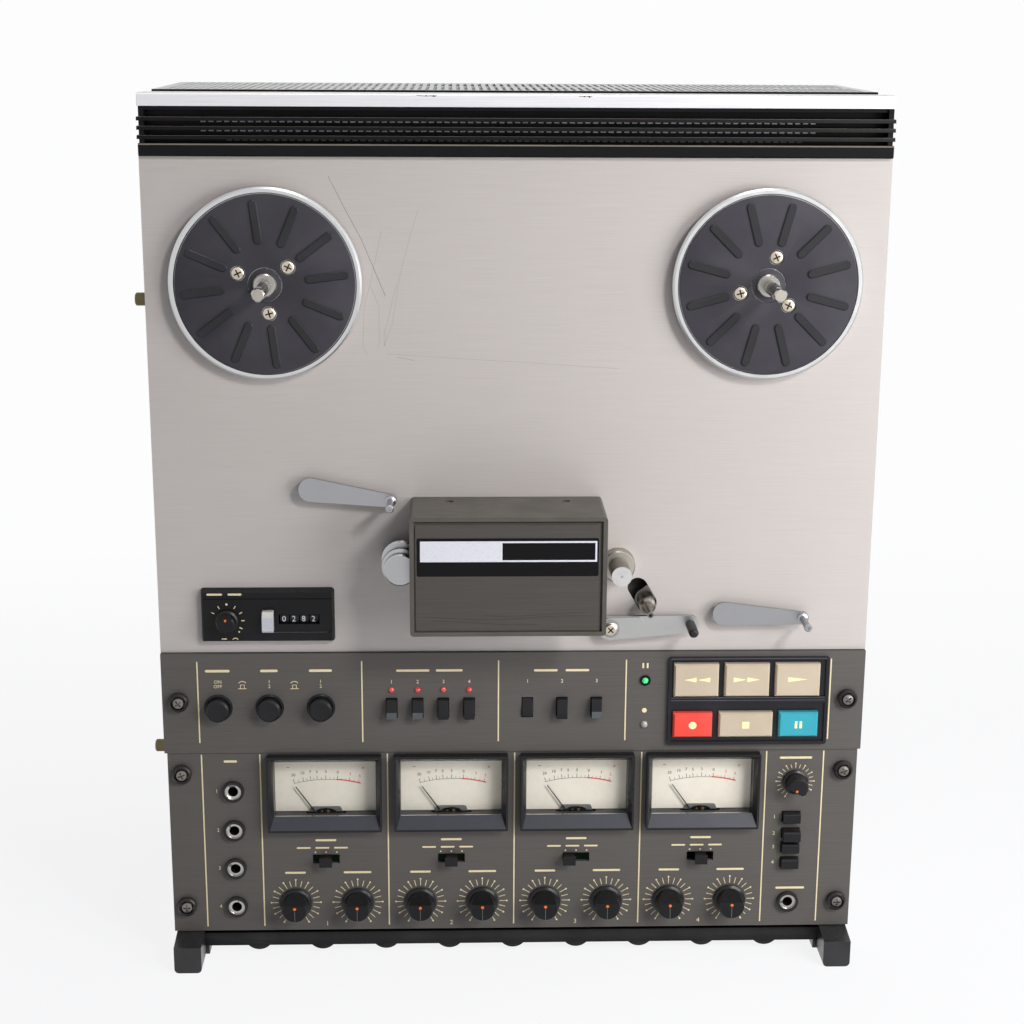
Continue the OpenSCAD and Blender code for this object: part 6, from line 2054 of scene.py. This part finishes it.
@dataclass(frozen=True)
class AmplifierPanel:
    """Dark panel with jacks, meters, slide levers, level knobs and the monitor group.

    Attributes:
        face: Y of the panel.
        channels: Middles of the four channels.
        lines: Where the dividing lines stand across.
        jack_zs: Heights of the four jacks at the left.
        phones: Place of the jack at the right.
        monitor: Axis of the monitor knob.
        monitor_zs: Heights of the monitor keys.
        knob_dx: Distance of a level knob from the middle of its channel.
    """

    face: float = -1.0
    channels: tuple[float, ...] = (-121.5, -40.5, 40.5, 121.5)
    lines: tuple[float, ...] = (-199.4, -162.4, -81.2, 0.2, 81.8, 162.4, 199.3)
    jack_zs: tuple[float, ...] = (119.0, 92.0, 65.4, 38.4)
    phones: Flat = (180.0, 38.6)
    monitor: Flat = (181.6, 123.0)
    monitor_zs: tuple[float, ...] = (98.4, 86.8, 77.2, 66.3)
    knob_dx: float = 20.1

    def build(self) -> None:
        """Builds the panel's pieces."""
        dress("amplifier_panel", Kit.PANEL, bevel=0.0)
        self.collars()

        def bar(middle: Vector, normal: Vector) -> int:
            """Tells the bars under the meter windows from the cases."""
            return int(normal.z > 0.3 and middle.y < 3.0 and middle.z < 104.0)

        dress("meter_cases", Kit.METER_CASE, Kit.METER_BAR, bevel=0.25, choose=bar)
        dress("meter_scales", Kit.CARD, bevel=0.0)
        dress("input_levers", Kit.KNOB, bevel=0.3)
        dress("monitor_keys", Kit.KNOB, bevel=0.3)
        for index, x in enumerate(self.channels):
            Meter(index, x).build()
            dress(f"meter_needle_{index + 1}", Kit.NEEDLE, bevel=0.0)
            self.channel(index, x)
        self.monitoring()
        self.printing()

    def collars(self) -> None:
        """Black collars round the bright nuts of the five jacks."""
        form = Form()
        for x, z in [(-self.phones[0], z) for z in self.jack_zs] + [self.phones]:
            form.ring(x, z, inner=5.2, outer=6.95, front=-3.6, back=self.face + 0.1)
        show("jack_collars", form, [Kit.OXIDE])

    def channel(self, index: int, x: float) -> None:
        """Builds the two level knobs of a channel, their dials and their pointers.

        Args:
            index: Number of the channel, from 0.
            x: Its middle.
        """
        for kind, side in (("input", -1), ("output", 1)):
            name = f"{kind}_knob_{index + 1}"
            at = x + side * self.knob_dx
            dress(name, Kit.KNOB, Kit.KNOB_FACE, bevel=0.3, choose=face_of(-14.3))
            mark = Form().prism(circle_points(at, 42.3, 1.0, 16), *POINTER)
            mark.paint(1, smooth=False).box((at - 0.13, at + 0.13), (-14.53, POINTER[1]), (33.2, 41.0))
            show(name + "_pointer", mark, [Kit.ORANGE, Kit.METER_GREY], name + "_body")
            dial = Dial(
                f"{kind}_dial_{index + 1}", at, 40.5, inner=11.3, outer=15.6, count=21,
                start=-150.0, step=15.0, face=self.face,
            )
            dial.build("dark_panel")

    def monitoring(self) -> None:
        """Builds the monitor knob and its dial."""
        dress("monitor_knob", Kit.KNOB, Kit.KNOB_FACE, bevel=0.3, choose=face_of(-11.5))
        dial = Dial(
            "monitor_dial", *self.monitor, inner=9.2, outer=11.9, count=21, start=-150.0, step=15.0,
            face=self.face, width=0.36, dots=0.5,
        )
        dial.build("dark_panel")
        front = FRONT.box("monitor_knob")[0].y
        turn = math.radians(210.0)
        x, z = self.monitor[0] + 1.9 * math.sin(turn), self.monitor[1] + 1.9 * math.cos(turn)
        mark = Form().prism(circle_points(x, z, 0.8, 14), front - 0.1, front + 0.1)
        show("monitor_pointer", mark, [Kit.ORANGE], Body.MONITOR_KNOB.value)

    def printing(self) -> None:
        """Prints lines, numbers, position dots and the bars of the groups."""
        ink = Print(self.face)
        for x in self.lines:
            ink.line(x, 24.0, 144.0)
        for x, zs in ((-190.5, self.jack_zs), (169.2, self.monitor_zs)):
            ink.numbers([(str(i + 1), x, z) for i, z in enumerate(zs)], 2.4)
        ink.numbers([(str(i + 1), x, 25.4) for i, x in enumerate(self.channels)], 3.0)
        for x in self.channels:
            for k in (-1, 0, 1):
                ink.dot(x + k * 6.9, 75.9, 0.5)
                ink.bar(x + k * 12.0 - 2.4, 79.0, 9.0, 1.1)
            ink.bar(x, 84.3, 13.5, 1.4)
            for side, width in ((-1, 13.5), (1, 18.0)):
                ink.bar(x + side * self.knob_dx, 61.6, width, 1.4)
        for x, z, width in ((-181.2, 139.3, 8.5), (181.5, 139.3, 21.0), (181.4, 47.9, 19.0)):
            ink.bar(x, z, width, 1.5)
        ink.done("amplifier_print", Kit.CREAM)
# Studio


@dataclass(frozen=True)
class Lamp:
    """One soft box.

    Attributes:
        name: Name of the light.
        place: Where it stands, in front millimetres.
        aim: Where it points, in front millimetres.
        size: Width and height in metres.
        power: Power in watts.
        tint: Colour as a hex code.
    """

    name: str
    place: Point
    aim: Point
    size: Flat
    power: float
    tint: str = "#ffffff"

    def build(self) -> Thing:
        """Makes the light.

        Returns:
            The light object.
        """
        data = bpy.data.lights.new(self.name, "AREA")
        data.shape, data.size, data.size_y = "RECTANGLE", *self.size
        data.energy, data.color = self.power, hex_rgb(self.tint)[:3]
        lamp = linked(self.name, data)
        lamp.location = FRONT.matrix() @ Vector(self.place)
        way = FRONT.matrix() @ Vector(self.aim) - lamp.location
        lamp.rotation_euler = way.to_track_quat("-Z", "Y").to_euler()
        return lamp


@dataclass(frozen=True)
class Studio:
    """Camera, light and floor.

    Attributes:
        eye: Where the camera stands, in front millimetres.
        lens: Focal length in millimetres on a sensor 36 mm wide.
        pitch: Angle down in degrees.
        yaw: Angle to the left in degrees.
        roll: Angle about the view axis in degrees.
        lamps: The soft boxes.
        ambient: Strength of the even light from all round.
    """

    eye: Point = (-39.8, -1118.8, 598.8)
    lens: float = 65.77
    pitch: float = 14.798
    yaw: float = -1.915
    roll: float = -0.336
    lamps: tuple[Lamp, ...] = (
        Lamp("key_box", (850.0, -1200.0, 1250.0), (0.0, 0.0, 260.0), (0.3, 0.3), 13.0),
        Lamp("side_box", (760.0, -540.0, 460.0), (40.0, 0.0, 320.0), (0.5, 0.5), 6.2),
        Lamp("top_box", (100.0, 80.0, 1850.0), (0.0, 80.0, 557.0), (0.7, 0.4), 7.0),
    )
    ambient: float = 0.13

    def camera(self) -> Thing:
        """Makes the camera of the photograph's view.

        Returns:
            The camera object.
        """
        data = bpy.data.cameras.new("camera")
        data.lens, data.sensor_width = self.lens, 36.0
        data.clip_start, data.clip_end = 0.02, 50.0
        camera = linked("camera", data)
        # The fitted turns apply to axes (right, forward, up); Blender's camera looks along -Z with Y up
        yaw = Matrix.Rotation(math.radians(self.yaw), 3, "Z")
        pitch = Matrix.Rotation(-math.radians(self.pitch), 3, "X")
        roll = Matrix.Rotation(math.radians(self.roll), 3, "Y")
        axes = Matrix(((1, 0, 0), (0, 0, -1), (0, 1, 0)))
        turn = (yaw @ pitch @ roll @ axes).to_4x4()
        camera.matrix_world = Matrix.Translation(FRONT.matrix() @ Vector(self.eye)) @ turn
        bpy.context.scene.camera = camera
        return camera

    def surroundings(self) -> None:
        """Makes the even light, and a white backdrop for the camera, mirrors and clear pieces."""
        world = bpy.data.worlds.new("studio")
        bpy.context.scene.world = world
        world.use_nodes = True
        tree = world.node_tree
        tree.nodes.clear()
        lit = add(tree, "ShaderNodeBackground", {"Color": hex_rgb("#f4f6fa"), "Strength": self.ambient})
        seen = add(tree, "ShaderNodeBackground", {"Color": hex_rgb("#fbfcfd"), "Strength": 1.0})
        mix = blended(tree, seen_rays(tree), lit.outputs[0], seen.outputs[0])
        add(tree, "ShaderNodeOutputWorld", {"Surface": mix})

    def floor(self) -> Thing:
        """Makes the table top that the recorder stands on, curved up far behind it.

        Returns:
            The floor object.
        """
        bm = bmesh.new()
        near, far, half, sweep, top = -2600.0, 1500.0, 2600.0, 900.0, 3400.0
        turns = [math.radians(d) for d in range(10, 91, 10)]
        curve = [(far + sweep * math.sin(a), sweep - sweep * math.cos(a)) for a in turns]
        profile = [(near, 0.0), (far, 0.0), *curve, (far + sweep, top)]
        rows = [[bm.verts.new((x, y, z)) for x in (-half, half)] for y, z in profile]
        for a, b in zip(rows, rows[1:]):
            bm.faces.new((a[0], a[1], b[1], b[0])).smooth = True
        mesh = bpy.data.meshes.new("floor")
        bm.to_mesh(mesh)
        bm.free()
        mesh.transform(FRONT.matrix())
        mesh.materials.append(Kit.PAPER.build())
        floor = linked("floor", mesh)
        return floor

    def build(self) -> None:
        """Makes everything round the recorder."""
        bpy.context.scene.view_settings.view_transform = "Standard"
        self.camera()
        self.surroundings()
        self.floor()
        for lamp in self.lamps:
            lamp.build()
        LOG.info("studio: %d soft boxes", len(self.lamps))


# Main


def main() -> None:
    """Builds everything in order."""
    logging.basicConfig(level=logging.INFO, format="%(name)s: %(message)s")
    for assembly in ASSEMBLIES:
        LOG.info("building %s", type(assembly).__name__)
        assembly.build()


ASSEMBLIES = (Cabinet(), Deck(), HeadCover(), CounterBox(), TransportPanel(), AmplifierPanel(), Studio())


if __name__ == "__main__":
    main()
